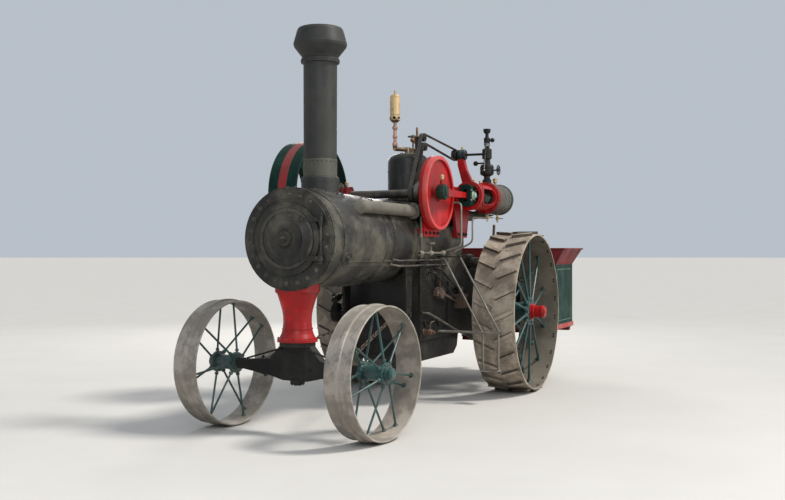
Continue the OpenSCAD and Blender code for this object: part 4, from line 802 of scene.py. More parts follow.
def makeBarrelTrim(t):
    s = newShape("boilerBlack")
    for x in t["straps"]:
        spots = roundSpots(at(x, 0, boilerZ), ahead, t["radius"] + 0.005, t["strapRivets"], 0.05, True)
        rivets(s, spots, 0.009)
    barrelSeam(s, *t["seam"], t["radius"], 0.02)
    for side in (-1, 1):
        y, out = side * t["side"], left * side
        for (x0, z0), (x1, z1), count, size in t["sideRows"]:
            rivetRow(s, (x0, y, z0), (x1, y, z1), count, out, size)
        for x in t["mudHoles"]:         # mud-hole lids low on the firebox
            lathe(s, at(x, y, 0.80), out, t["mudLid"], 24, squash=0.7)
            nut(s, at(x, y + side * 0.018, 0.80), out, 0.013, 1.0)
    for x, face, count, rows in t["ends"]:      # throat sheet in front of the firebox, and its back
        for z in rows:
            rivetRow(s, (x, -0.34, z), (x, 0.34, z), count, ahead * face, 0.009)
    rivets(s, roundSpots(at(t["back"], 0, boilerZ), -ahead, 0.37, 30), 0.008)
    dome, top = at(t["domeX"], 0, 0), at(t["domeX"], 0, t["topZ"])
    nutRing(s, dome + up * t["flangeZ"], up, 0.225, 18, 0.009, finish="domeBlack")
    lathe(s, top, up, t["domeLid"], 40, "domeTop")
    nutRing(s, top + up * 0.008, up, 0.078, 10, 0.007, 0.2, finish="domeTop")
    rivets(s, roundSpots(dome + up * t["ringZ"], up, 0.21, 30, 0.1, True), 0.006, "domeBlack")
    makePiece("barrel_trim", "engine", s)


whistleTrim = dict(
    foot=(1.03, -0.09, 2.562), holes=0.313, bell=0.048, hole=0.019,
    nuts=((0.045, 0.026), (0.125, 0.023), (0.215, 0.026)),
    turned=(                            # place, profile, turns, finish
        ((1.03, -0.09, 2.562), [(0.0172, 0.02), (0.0172, 0.275)], 24, "whistlePipe"),
        ((1.03, -0.09, 2.832), [(0.029, 0.0), (0.051, 0.025), (0.051, 0.03)], 32, "copperPipe"),
        ((0.9, 0, 2.51), [(0.034, 0.006), (0.034, 0.05), (0.032, 0.072), (0, 0.073)], 6, "darkElbow"),
        ((0.885, 0.095, 2.51), [(0.036, 0.03), (0.038, 0.034), (0.038, 0.05), (0.036, 0.054), (0.03, 0.056)],
         6, "copperPipe"),
        ((0.77, 0, 2.51), [(0.03, 0.02), (0.03, 0.05), (0.02, 0.075), (0.011, 0.08)], 6, "pipeDust"),
        ((0.77, 0, 2.51), [(0.018, 0.19), (0.018, 0.212), (0.008, 0.22), (0, 0.225)], 12, "pipeDust")),
    lever=((0.885, 0.095, 2.625), (0.94, 0.085, 2.63), (0.97, 0.081, 2.645)), knob=(0.973, 0.081, 2.649),
)


def makeWhistleTrim(t):
    s = newShape("whistleBrass")
    foot, r = at(*t["foot"]), t["hole"]
    for a in turnsOf(6, math.radians(15)):
        out = polar(1, a)
        spot = foot + up * t["holes"] + out * t["bell"]
        lathe(s, spot, out, [(r + 0.005, -0.003), (r + 0.005, 0.004), (r, 0.005), (r - 0.002, 0.002)], 20)
        # a dark disc at the bottom of each hole: painted shade
        lathe(s, spot, out, [(r, 0.0025), (0, 0.0025)], 20, "soot")
    for z, r in t["nuts"]:
        profile = [(r, -0.016), (r * 1.1, -0.012), (r * 1.1, 0.012), (r, 0.016), (0.016, 0.018)]
        lathe(s, foot + up * z, up, profile, 8, "whistlePipe")
    for place, profile, turns, finish in t["turned"]:
        lathe(s, at(*place), up, profile, turns, finish)
    tube(s, bent([at(0.925, -0.018, foot.z), foot, foot + up * 0.06], 0.012), 0.0235, 14, finish="darkElbow")
    tube(s, bent([at(*p) for p in t["lever"]], 0.02), 0.008, finish="copperPipe")     # safety valve's lever
    ball(s, at(*t["knob"]), 0.024, finish="copperPipe")
    makePiece("whistle_trim", "engine", s)


# Engine

cylinderTrim = dict(
    y=0.62, z=2.075,
    nuts=(                              # place along it, facing, ring, count, size, start, stud, finish
        (-0.195, -1, 0.142, 12, 0.012, 0.2, 0.8, "engineRed"),
        (-0.219, -1, 0.06, 6, 0.010, 0.2, 0.5, "frameBlack"),
        (0.295, 1, 0.152, 12, 0.010, 0.15, 0.8, "engineRed"),
        (0.285, 1, 0.052, 4, 0.008, 0.4, 1.5, "shaftSteel")),
    brownBand=[(0.162, 0.082), (0.1652, 0.085), (0.1652, 0.223), (0.1715, 0.225), (0.1715, 0.265),
               (0.169, 0.267)],
    gland=[(0.062, 0.265), (0.062, 0.285), (0.045, 0.291), (0.045, 0.317), (0.0245, 0.321)],
    bands=(-0.11, 0.02), cocks=(-0.14, 0.19),
    cups=((-0.06, 0.162, 0.024), (0.42, 0.137, 0.013), (0.6, 0.137, 0.013)),
    cock=[(0.012, 0), (0.012, 0.03), (0.02, 0.034), (0.02, 0.056), (0.01, 0.06), (0.008, 0.09), (0, 0.09)],
    studs=[(-0.12 + i * 0.09, z, i) for i in range(5) for z in (-0.088, 0.12)]
    + [(x, z, z) for z in (-0.02, 0.05) for x in (-0.12, 0.24)],
)


def makeCylinderTrim(t):
    s = newShape("lagging")
    centre = at(0, t["y"], t["z"])
    for x, face, radius, count, size, start, stud, finish in t["nuts"]:
        nutRing(s, centre + ahead * x, ahead * face, radius, count, size, start, stud, finish)
    lathe(s, centre, ahead, t["brownBand"], 72, "brownBand")
    lathe(s, centre, ahead, t["gland"], 32, "glandGreen")       # seen through the guide's window
    for x in t["bands"]:
        band(s, centre + ahead * x, ahead, 0.161, 0.1648, 0.012, finish="pipeDust")
        nut(s, centre + Vector((x, 0.115, -0.118)), (0, 1, -1), 0.007, 1.0, finish="pipeDust")
    for x in t["cocks"]:                # drain cocks
        low = centre + Vector((x, 0, -0.16))
        lathe(s, low, -up, t["cock"], 10, "whistleBrass")
        tube(s, [low + Vector((0, 0.018, -0.045)), low + Vector((0, 0.07, -0.05))], 0.005, 8,
             finish="whistleBrass")
    for x, z, size in t["cups"]:        # lubricator behind the governor, cups along the guide
        oilCup(s, centre + Vector((x, 0, z)), size)
    for x, z, spin in t["studs"]:       # studs of the valve chest's cover
        nut(s, centre + Vector((x, -0.276, z)), -left, 0.010, spin=spin)
    makePiece("cylinder_trim", "engine", s)


governorTrim = dict(
    x=0.207, y=0.62, foot=2.215, shaftZ=2.552, drumY=0.335, rings=((0.055, 0.039), (0.212, 0.058)),
    drum=[(0.014, -0.045), (0.05, -0.045), (0.058, -0.035), (0.058, 0.035), (0.05, 0.045), (0.014, 0.045)],
    coil=(0.031, 0.084, 0.0004), coilTurns=6, turnSteps=14,
    lever=((0, 0, 0.07), (0.09, 0.02, 0.075), (0.14, 0.03, -0.02)),
)


def makeGovernorTrim(t):
    s = newShape("frameBlack")
    x, y, side, shaft = t["x"], t["y"], t["foot"] + 0.16, t["shaftZ"]
    for lift, radius in t["rings"]:
        nutRing(s, at(x, y, t["foot"] + lift), up, radius, 6, 0.007)
    handWheel(s, at(x, y + 0.13, side), left, 0.05, 0.006)      # valve spindle's side wheel, and a lever
    tube(s, [at(x, y + 0.07, side), at(x, y + 0.135, side)], 0.010, finish="shaftSteel")
    lever = [at(x + dx, y + dy, shaft + dz) for dx, dy, dz in t["lever"]]
    tube(s, bent(lever, 0.03), 0.007)
    radius, lift, rise = t["coil"]      # spring on the spindle
    coil = [at(x, y, shaft + lift) + polar(radius, 2 * math.pi * k / t["turnSteps"], k * rise)
            for k in range(t["coilTurns"] * t["turnSteps"] + 1)]
    tube(s, coil, 0.0035, 6, finish="shaftSteel")
    drum = at(x, t["drumY"], shaft)     # drum beside the pulley, with its green top
    lathe(s, drum, left, t["drum"], 28)
    oilCup(s, drum + up * 0.055, 0.012)
    band(s, drum, left, 0.056, 0.0595, 0.018, 28, "wheelGreen")
    tube(s, [at(x + 0.06, y, shaft - 0.02), at(x + 0.09, y, side)], 0.006, 8, finish="shaftSteel")
    ball(s, at(x + 0.092, y, side - 0.005), 0.013, finish="shaftSteel")
    makePiece("governor_trim", "engine", s)


bearingTrim = dict(
    x=1.36, capZ=2.13, caps=((0.404, 0.092, "engineRed"), (-0.4775, 0.086, "dullRed")),
    feet=((0.42, 0.62), (1.21, 1.51)), ribs=((0.30, 2.105, 0.66, 2.145), (0.30, 2.0, 0.62, 1.975)),
    counter=(0.2515, 1.3993, 0.098), side=0.405,
    plateRows=((0.755, 0.80, 0.755, 1.18, 9), (0.70, 1.22, 0.42, 1.41, 7), (-0.22, 0.60, -0.22, 0.96, 8),
               (0.12, 0.58, 0.70, 0.765, 12)),
)


def makeBearingTrim(t):
    s = newShape("frameBlack")
    for y, top, tone in t["caps"]:
        for dx, dy in product((-0.07, 0.07), (-0.026, 0.026)):
            foot = at(t["x"] + dx, y + dy, t["capZ"])
            lathe(s, foot, up, [(0.016, -0.05), (0.016, 0.012), (0, 0.012)], 12, tone)
            nut(s, foot + up * 0.012, up, 0.012, 1.0)
        oilCup(s, at(t["x"], y, t["capZ"] - 0.059 + top), 0.018)
    for x0, x1 in t["feet"]:            # bolts through the frame's feet
        nuts(s, rowSpots((x0, 0.455, 1.685), (x1, 0.455, 1.685), 4, left), 0.014)
    for x0, z0, x1, z1 in t["ribs"]:    # ribs of the girder
        tube(s, [at(x0, 0.455, z0), at(x1, 0.455, z1)], 0.010, 8, finish="engineRed")
    x, z, reach = t["counter"]          # cap bolts of the countershaft's bearings, and rivets
    for side in (-1, 1):
        y, out = side * t["side"], left * side
        for a in turnsOf(6, 0.3):
            nut(s, at(x + reach * math.cos(a), y, z + reach * math.sin(a)), out, 0.011)
        for x0, z0, x1, z1, count in t["plateRows"]:
            rivetRow(s, (x0, y, z0), (x1, y, z1), count, out, 0.009)
    makePiece("bearing_trim", "engine", s)


crankTrim = dict(centre=(1.36, 0.55, 2.075), cap=[(0.05, -0.002), (0.05, 0.006), (0.044, 0.010), (0, 0.010)],
                 edge=[(0.3605, -0.045), (0.3605, -0.002), (0.3585, 0.0012), (0.327, 0.0012)])


def makeCrankTrim(t):
    s = newShape("shaftSteel")
    centre = at(*t["centre"])
    lathe(s, centre, left, t["cap"], 32)
    slab(s, centre + Vector((-0.012, -0.004, 0.03)), centre + Vector((0.012, 0.007, 0.068)))
    lathe(s, centre, left, t["edge"], 96, "discEdge")       # paler red round the disc's edge: a painted highlight
    makePiece("crank_trim", "crank", s)


flywheelTrim = dict(
    centre=(1.36, -0.91, 2.075),
    stripe=[(0.554, -0.048), (0.5558, -0.0474), (0.5558, 0.0474), (0.554, 0.048)],
    hub=[(0.092, 0), (0.085, 0.01), (0.05, 0.01)],
    rim=[(0.551, -0.004), (0.549, 0.002), (0.537, 0.002), (0.533, -0.004)],
)


def makeFlywheelTrim(t):
    s = newShape("bodyGreen")
    centre = at(*t["centre"])
    lathe(s, centre, left, t["stripe"], 128, "stripeRed")
    for side in (-1, 1):                # hub ends with their key and nuts
        out, hub = left * side, centre + left * (side * 0.12)
        lathe(s, hub, out, t["hub"], 32)
        slab(s, hub + Vector((-0.011, -0.006, 0.038)), hub + Vector((0.011, 0.018, 0.062)),
             finish="shaftSteel")
        lathe(s, centre + out * 0.1565, out, t["rim"], 96)
        for a in turnsOf(6):
            nut(s, centre + Vector((0.13 * math.cos(a), side * 0.026, 0.13 * math.sin(a))), out, 0.010)
    makePiece("flywheel_trim", "crank", s)


rodTrim = dict(
    pin=(1.5, 0.585, 2.075), wrist=(0.8, 0.68, 2.075),
    bigEnd=[(0.04, 0.0), (0.0705, 0.0), (0.073, 0.006), (0.073, 0.072), (0.068, 0.079), (0.05, 0.081),
            (0.038, 0.083), (0.038, 0.09), (0.03, 0.094), (0, 0.094)],
    knob=[(0.044, -0.002), (0.044, 0.008), (0.03, 0.012), (0.03, 0.026), (0.024, 0.032), (0.012, 0.036),
          (0, 0.037)],
)


def makeRodTrim(t):
    s = newShape("shaftSteel")
    pin = at(*t["pin"])
    lathe(s, pin, left, t["bigEnd"], 36, "bigEndGreen")
    for dx, dz in product((-0.041, 0.041), repeat=2):
        nut(s, pin + Vector((dx, 0.0785, dz)), left, 0.008, finish="bigEndGreen")
    oilCup(s, pin + Vector((0, 0.035, 0.105)), 0.020)
    rod = pin + left * 0.035            # gib and cotter behind the big end
    slab(s, rod + Vector((-0.118, -0.024, -0.052)), rod + Vector((-0.062, 0.024, 0.052)), 0.005, "engineRed")
    slab(s, rod + Vector((-0.098, -0.007, -0.075)), rod + Vector((-0.084, 0.007, 0.085)))
    nuts(s, [(rod + Vector((-0.108, 0.024, dz)), left) for dz in (-0.036, 0.036)], 0.007)
    makePiece("rod_trim", "rod", s)


def makeCrossheadTrim(t):
    s = newShape("shaftSteel")
    pin = at(*t["wrist"])
    lathe(s, pin, left, t["knob"], 28, "knobGreen")
    for dx, dz in product((-0.055, 0.055), (0.05, -0.05)):
        nut(s, pin + Vector((dx, 0, dz)), left, 0.009)
    makePiece("crosshead_trim", "crosshead", s)


# Wheels

def spokeAngles(count):                 # the outer row stands half a space on from the inner one
    return [(row, a) for row in (-1, 1) for a in turnsOf(count, math.pi / count * (row > 0))]


rearWheel = dict(
    rim=0.814, tread=0.83, rivets=24, rimRows=((0.19, 0.018), (-0.19, 0.0288)),
    treadRows=(0.045, -0.045, 0.2, -0.2), spokes=12, spokeRow=0.06, flanges=(-0.134, 0.131),
    foot=[(0.03, -0.004), (0.03, 0.004), (0.022, 0.010), (0.017, 0.03), (0.0135, 0.034)],
    root=[(0.026, 0.0), (0.026, 0.022), (0.014, 0.03)], capFrom=0.155,
    cap=((36, [(0.068, 0.018), (0.070, 0.022), (0.070, 0.034), (0.065, 0.038)]),
         (36, [(0.065, 0.112), (0.069, 0.116), (0.069, 0.130), (0.060, 0.137)]),
         (6, [(0.03, 0.148), (0.028, 0.156), (0, 0.156)])),
)


def makeRearWheel(side, name, t):
    s = newShape("wheelGreen")
    centre, axle = jointPlace("rear_wheel_%s_turn" % name)
    axle = axle * side                  # outwards
    across = facing(centre, axle)
    for a in turnsOf(t["rivets"], math.pi / t["rivets"]):
        for (y, spread), turn in product(t["rimRows"], (-1, 1)):
            p = across @ polar(t["rim"], a + turn * spread, y)
            rivet(s, p, centre + axle * y - p, 0.011, "frameBlack")
        for y in t["treadRows"]:        # heads on the tread, between the lugs
            p = across @ polar(t["tread"], a, y)
            rivet(s, p, p - centre - axle * y, 0.009, "rearSteel")
    for row, a in spokeAngles(t["spokes"]):
        out = Vector((math.cos(a), 0, math.sin(a)))
        foot = centre + out * (t["rim"] - 0.0005) + axle * (row * t["spokeRow"])
        root = centre + out * 0.095 + axle * t["flanges"][row > 0]
        lathe(s, foot, root - foot, t["foot"], 12)
        rivets(s, [(foot + axle * dy, -out) for dy in (-0.026, 0.026)], 0.008, "frameBlack")
        lathe(s, root + (foot - root).normalized() * 0.03, foot - root, t["root"], 6)
    for y, sign in product(t["flanges"], (-1, 1)):
        nutRing(s, centre + axle * (y + sign * 0.018), axle * sign, 0.108, 8, 0.008, 0.13)
    cap = centre + axle * t["capFrom"]  # red cap with its rings and grease plug
    for turns, profile in t["cap"]:
        lathe(s, cap, axle, profile, turns, "engineRed")
    nutRing(s, cap + axle * 0.014, axle, 0.077, 6, 0.007, finish="engineRed")
    makePiece("rear_wheel_trim_" + name, "rear_wheel_" + name, s)


frontWheel = dict(
    rim=0.523, spokes=7, spokeRow=0.03, flangeY=0.1, lean=math.radians(8), bead=(0.5295, 0.114),
    foot=[(0.021, -0.005), (0.021, 0.003), (0.015, 0.008), (0.012, 0.022), (0.0095, 0.025)],
    root=[(0.018, 0.0), (0.018, 0.016), (0.0095, 0.022)], hubEnd=0.166,
    end=[(0.036, -0.004), (0.036, 0.006), (0.026, 0.010), (0, 0.010)],
)


def makeFrontWheel(side, name, t):
    s = newShape("wheelGreen")
    centre, axle = jointPlace("front_wheel_%s_turn" % name)
    axle = axle * side
    forward = axle.cross(up) * side
    for row, a in spokeAngles(t["spokes"]):
        b = a + row * t["lean"]
        root = centre + (forward * math.cos(a) + up * math.sin(a)) * 0.07 + axle * (row * t["flangeY"])
        out = forward * math.cos(b) + up * math.sin(b)
        foot = centre + out * t["rim"] + axle * (row * t["spokeRow"])
        lathe(s, foot, root - foot, t["foot"], 10)
        lathe(s, root + (foot - root).normalized() * 0.028, foot - root, t["root"], 6)
        rivet(s, foot + axle * (row * t["spokeRow"]), -out, 0.007, "frontSteel")
    for y, sign in product((-t["flangeY"], t["flangeY"]), (-1, 1)):
        nutRing(s, centre + axle * (y + sign * 0.014), axle * sign, 0.078, 7, 0.0065, 0.2)
    radius, y = t["bead"]               # rounded beads on the rim's edges
    for sign in (-1, 1):
        hoop(s, centre + axle * (sign * y), axle, radius, 0.0078, 80, "frontSteel")
    lathe(s, centre + axle * t["hubEnd"], axle, t["end"], 6)
    makePiece("front_wheel_trim_" + name, "front_wheel_" + name, s)


# Steering chains of round links, from the spool to the axle's eye

chains = dict(spoolX=1.65, spoolY=0.14, spoolZ=0.845, eyeBack=0.075, eyeY=0.42, eyeZ=0.583, wire=0.0055,
              bend=0.0135, pitch=0.078, eyeGap=0.037)


def makeChain(side, name, t):
    s = newShape("chainIron")
    joint, axle = jointPlace("steering")[0], jointPlace("front_wheel_left_turn")[1]
    across, behind = Vector((axle.x, axle.y, 0)), Vector((-axle.y, axle.x, 0))
    eye = Vector((joint.x, joint.y, t["eyeZ"])) + across * (side * t["eyeY"]) + behind * t["eyeBack"]
    spool = at(t["spoolX"], side * t["spoolY"], t["spoolZ"])
    reach = (eye - spool).length - t["eyeGap"]
    links = round(reach / t["pitch"])
    pitch, along, bend = reach / links, (eye - spool).normalized(), t["bend"]
    straight = pitch / 2 + t["wire"] - bend
    for i in range(links):
        place = facing(spool + along * pitch * (i + 0.5), along, (i + 1) % 2 * math.pi / 2)
        path = []
        for end, k in product((1, -1), range(7)):
            a = math.pi * (k / 6 + (end < 0))
            path.append(place @ Vector((bend * math.cos(a), 0, end * straight + bend * math.sin(a))))
        tube(s, path, t["wire"], 8, True)
    piece = makePiece("chain_links_" + name, None, s)
    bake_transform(piece)
    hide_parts("steering_chain_" + name)
    s = newShape("frameBlack")          # bolt of the shackle in the axle's eye
    for sign in (1, -1):
        nut(s, eye + up * (sign * 0.012), up * sign, 0.016, 0.6)
    makePiece("eye_bolt_" + name, "axle", s)


pedestalTrim = dict(foot=(3.17, 0, 0.784), ring=0.158, ribs=6,
                    rib=((0.15, 0), (0.118, 0.06), (0.116, 0.10), (0.10, 0)))


def makePedestalTrim(t):
    s = newShape("engineRed")
    foot = at(*t["foot"])
    nutRing(s, foot, up, t["ring"], 8, 0.010, 0.39)
    for a in turnsOf(t["ribs"]):        # ribs between the foot and the neck
        flat = polar(0.008, a + math.pi / 2)
        corners = [foot + polar(reach, a, z) for reach, z in t["rib"]]
        addFaces(s, [p + f for f in (-flat, flat) for p in corners],
                 [[3, 2, 1, 0], [4, 5, 6, 7], [0, 1, 5, 4], [1, 2, 6, 5]])
    band(s, foot + up * 0.085, up, 0.12, 0.1285, 0.006, 56)
    makePiece("pedestal_trim", "engine", s)


axleTrim = dict(nuts=(0.16, 0.3, 0.44, 0.56), collar=0.606, rod=((0.13, 0.155), (0.5, 0.052)))


def makeAxleTrim(t):
    s = newShape("frameBlack")
    joint = jointPlace("steering")[0]
    wheel, axle = jointPlace("front_wheel_left_turn")
    forward = Vector((axle.y, -axle.x, 0))

    def onAxle(along, lift, out=0.0):
        p = joint + axle * along + forward * out
        return Vector((p.x, p.y, wheel.z + lift))

    for side in (-1, 1):
        for along, face in product(t["nuts"], (-1, 1)):
            nut(s, onAxle(side * along, -0.012, face * 0.04), forward * face, 0.011)
        band(s, onAxle(side * t["collar"], 0), axle, 0.03, 0.044, 0.010, 28)    # collar inside the hub
        tube(s, [onAxle(side * along, lift, 0.045) for along, lift in t["rod"]], 0.008, 8)
    nutRing(s, onAxle(0, -0.14), -up, 0.044, 6, 0.008)
    makePiece("axle_trim", "axle", s)


def makeGearTrim(name, body, node, ring, count, plate):
    s = newShape("gearIron")
    for side in (-1, 1):
        base, out = middle(node) + left * (side * 0.04), left * side
        nutRing(s, base, out, ring, count, 0.011, 0.2)
        lathe(s, base, out, [(plate + 0.022, -0.002), (plate + 0.022, 0.006), (plate, 0.010)], 28)
    makePiece(name, body, s)


# Platform, tank and bunker

bunkerTrim = dict(
    front=-0.95, back=-1.7, halfW=1.06, floor=0.6, top=1.35, flareTop=1.54, flare=0.1, line=0.006,
    inset=0.055, rowInset=0.018, trimH=0.045,
    foot=[(0.022, -0.01), (0.022, 0.02), (0.014, 0.026), (0.014, 0.05), (0, 0.05)],
)


def makeBunkerTrim(t):
    s = newShape("bodyGreen")
    f, b, w, z0, z1 = t["front"], t["back"], t["halfW"], t["floor"], t["top"]
    n, i, h, e = t["line"], t["inset"], t["trimH"], t["flare"]
    low, high = z0 + i + 0.03, z1 - i
    for turned, side in product((False, True), (-1, 1)):    # the two sides, then the back and the front
        u0, u1, level = (-w, w, f if side > 0 else b) if turned else (b, f, side * w)
        out = (ahead if turned else left) * side

        def spot(u, v, z):
            return (v, u, z) if turned else (u, v, z)

        inside, face = sorted((level - side * 0.001, level + side * 0.0012))
        a, c = u0 + i, u1 - i           # pinstripe panels, a millimetre proud
        for p, q, za, zb in ((a, c, high - n, high), (a, c, low, low + n), (a, a + n, low, high),
                             (c - n, c, low, high)):
            slab(s, at(*spot(p, inside, za)), at(*spot(q, face, zb)), 0.0004, "pinstripe")
        for u in (u0 + t["rowInset"], u1 - t["rowInset"]):
            rivetRow(s, spot(u, level, z0 + 0.07), spot(u, level, z1 - 0.02), 14, out, 0.006)
    for x0, x1, y0, y1 in ((b - 0.012, f + 0.012, w, w + 0.012), (b - 0.012, f + 0.012, -w - 0.012, -w),
                           (b - 0.012, b, -w, w), (f, f + 0.012, -w, w)):       # red trim round the floor
        slab(s, at(x0, y0, z0 - 0.008), at(x1, y1, z0 + h), 0.003, "trimRed")
    for x, y in product((b + 0.04, f - 0.08), (-w + 0.03, w - 0.03)):
        lathe(s, at(x, y, z0), -up, t["foot"], 12, "frameBlack")
    edge = [at(x, y, t["flareTop"] - 0.006)     # rolled top edge of the flare
            for x, y in ((b - e, -w - e), (f, -w - e), (f, w + e), (b - e, w + e))]
    for p, q in zip(edge, edge[1:] + edge[:1]):
        tube(s, [p, q], 0.010, finish="dullRed")
        ball(s, p, 0.0102, 10, "dullRed")
    z = z1 + 0.018
    for side in (-1, 1):
        y = side * (w + 0.008)
        rivetRow(s, (b + 0.03, y, z), (f - 0.03, y, z), 16, left * side, 0.006, "dullRed")
    rivetRow(s, (b - 0.008, -w + 0.04, z), (b - 0.008, w - 0.04, z), 36, -ahead, 0.006, "dullRed")
    makePiece("bunker_trim", "engine", s)


deckTrim = dict(
    top=0.975, boards=8, gap=0.006, thick=0.005, halfW=0.59, back=-0.945, fronts=(0.325, -0.305),
    rows=((0.606, 0.964, -0.34, 9, None), (0.56, 0.63, -0.33, 14, "bodyGreen"),
          (0.56, 0.92, -0.33, 14, "bodyGreen")), boardNails=(-0.92, -0.62, -0.33),
    tap=[(0.018, -0.002), (0.018, 0.02), (0.012, 0.024), (0.012, 0.05), (0.02, 0.054), (0.02, 0.08),
         (0, 0.08)],
)


def makeDeckTrim(t):
    s = newShape("frameBlack")
    wide, top = 2 * t["halfW"] / t["boards"], t["top"] + t["thick"]
    for k in range(t["boards"]):
        y0 = k * wide - t["halfW"]
        y1 = y0 + wide - t["gap"]
        front = t["fronts"][abs((y0 + y1) / 2) >= 0.35]
        slab(s, at(t["back"], y0, t["top"] - 0.001), at(front, y1, top), 0.0015, "planks")
        for x, y in product(t["boardNails"], (y0 + 0.03, y1 - 0.03)):
            rivet(s, at(x, y, top), up, 0.005)
    for side in (-1, 1):                # iron edge of the platform, and rivet rows of the tank below
        slab(s, at(-0.948, side * 0.6 - 0.006, 0.944), at(-0.3, side * 0.6 + 0.006, 0.984))
        for y, z, x1, count, finish in t["rows"]:
            rivetRow(s, (-0.92, side * y, z), (x1, side * y, z), count, left * side, 0.006, finish)
    for y in (-0.4, 0.4):
        lathe(s, at(-0.3, y, 0.66), ahead, t["tap"], 12, "whistleBrass")
    makePiece("deck_trim", "engine", s)


cabTrim = dict(
    backX=0.33, gauge=(-0.06, 1.945, 0.07), ticks=11, glass=(-0.235, 1.67, 1.895), cocks=(1.50, 1.60, 1.70),
    cockY=-0.335, grip=((-0.432, 0.475, 1.645), (-0.453, 0.475, 1.795)), quadrant=(-0.34, 0.99, 0.26),
    teeth=9, tooth=Vector((0.013, 0.008, 0.012)),
)


def makeCabTrim(t):
    s = newShape("whistleBrass")
    x, (y, z, r) = t["backX"], t["gauge"]
    dial = at(x - 0.07, y, z)
    lathe(s, dial, -ahead, [(r + 0.002, -0.036), (r + 0.004, 0.0), (r + 0.002, 0.006), (r - 0.006, 0.008),
                            (r - 0.009, 0.003)], 40)
    lathe(s, dial, -ahead, [(r - 0.008, 0.0015), (0, 0.0015)], 40, "dialPaper")
    for k in range(t["ticks"]):         # tick marks and the needle
        a = math.radians(-135 + 27 * k)
        tick, face = Vector((0, math.sin(a), math.cos(a))), dial - ahead * 0.002
        tube(s, [face + tick * 0.045, face + tick * 0.056], 0.0012, 6, finish="frameBlack")
    tube(s, [dial + Vector((-0.004, v, v)) for v in (-0.012, 0.03)], 0.0014, 6, finish="frameBlack")
    ball(s, dial - ahead * 0.004, 0.005, 10)
    y, *levels = t["glass"]             # water glass and try cocks
    for z in levels:
        tube(s, [at(x + 0.004, y, z), at(x - 0.06, y, z)], 0.014)
        lathe(s, at(x - 0.06, y, z), up, [(0, -0.022), (0.017, -0.022), (0.017, 0.022), (0, 0.022)], 12)
        handWheel(s, at(x - 0.092, y, z), -ahead, 0.02, 0.004, 4, "engineRed")
        tube(s, [at(x - 0.07, y, z), at(x - 0.092, y, z)], 0.006, 8)
    tube(s, [at(x - 0.06, y, z) for z in levels], 0.008, 12, finish="gaugeGlass")
    y = t["cockY"]
    for z in t["cocks"]:
        tube(s, [at(x + 0.004, y, z), at(x - 0.05, y, z), at(x - 0.06, y, z - 0.03)], 0.008)
        handWheel(s, at(x - 0.066, y, z + 0.004), -ahead, 0.018, 0.0035, 4, "engineRed")
    grip = [at(*p) for p in t["grip"]]  # grips and quadrant of the levers
    tube(s, grip, 0.0155, finish="planks")
    ball(s, grip[1], 0.018, finish="shaftSteel")
    quadX, quadZ, reach = t["quadrant"]
    for k in range(t["teeth"]):
        a = math.radians(75 + 6 * k)
        spot = at(quadX + reach * math.cos(a), 0.445, quadZ + reach * math.sin(a))
        slab(s, spot - t["tooth"], spot + t["tooth"], finish="frameBlack")
    ball(s, at(x - 0.26, 0.30, 1.93), 0.02, finish="engineRed")
    nutRing(s, at(x, 0, 1.66), -ahead, 0.183, 10, 0.008, 0.3, finish="boilerBlack")
    makePiece("cab_trim", "engine", s)


def makeFireDoorTrim():
    s = newShape("frameBlack")
    for y, z in product((-0.04, 0.02, 0.08), (1.6025, 1.7175)):
        rivet(s, at(0.294, y, z), -ahead, 0.008)
    handWheel(s, at(0.284, 0, 1.66), -ahead, 0.04, 0.006, 3)
    makePiece("fire_door_trim", "fire_door", s)


# Pipes and stays on the left side

sidePipes = dict(
    y=0.434,
    pipes=(                             # finish, radius, bend, corners
        ("palePipe", 0.010, 0.05, (0.24, 0.62, 1.92), (0.24, 0.62, 1.86), (0.60, 0.60, 1.86),
         (0.60, 0.60, 1.60), (0.62, 0.40, 1.50)),           # drain from the cylinder's front
        ("palePipe", 0.010, 0.05, (0.93, 0.46, 2.0), (0.93, 0.60, 2.0), (0.93, 0.60, 1.56),
         (0.93, 0.395, 1.50)),                              # from the guide to the firebox
        ("gearIron", 0.009, 0.03, (0.80, 0.405, 1.42), (2.02, 0.405, 1.42), (2.07, 0.33, 1.44)),
        ("gearIron", 0.009, 0.03, (0.80, 0.405, 1.37), (2.02, 0.405, 1.37), (2.07, 0.33, 1.39)),
        ("pipeDust", 0.010, 0.03, (1.427, 0.388, 0.907), (1.42, 0.45, 0.905), (0.43, 0.45, 0.62),
         (0.40, 0.408, 0.61))),                             # long brace rod low along the side
    tee=[(0.012, -0.02), (0.019, -0.018), (0.019, 0.018), (0.012, 0.02)],
    cock=[(0.03, -0.002), (0.03, 0.01), (0.018, 0.014), (0.018, 0.05), (0.028, 0.054), (0.028, 0.09),
          (0.014, 0.094), (0.014, 0.12), (0, 0.12)],
    unions=(1.010, 1.330, 1.575),
    union=[(0.013, -0.036), (0.021, -0.034), (0.021, -0.012), (0.027, -0.008), (0.027, 0.008),
           (0.021, 0.012), (0.021, 0.034), (0.013, 0.036)],
    stays=((1.30, 1.30, 0.72, 1.02), (1.18, 1.34, 0.66, 1.12)), clips=(0.84, 1.15, 1.43),
)


def flangeOn(s, x, y, z):
    lathe(s, at(x, y, z), left, [(0.034, -0.002), (0.034, 0.008), (0.016, 0.012)], 14)
    rivets(s, roundSpots(at(x, y + 0.008, z), left, 0.026, 4, 0.4), 0.005)


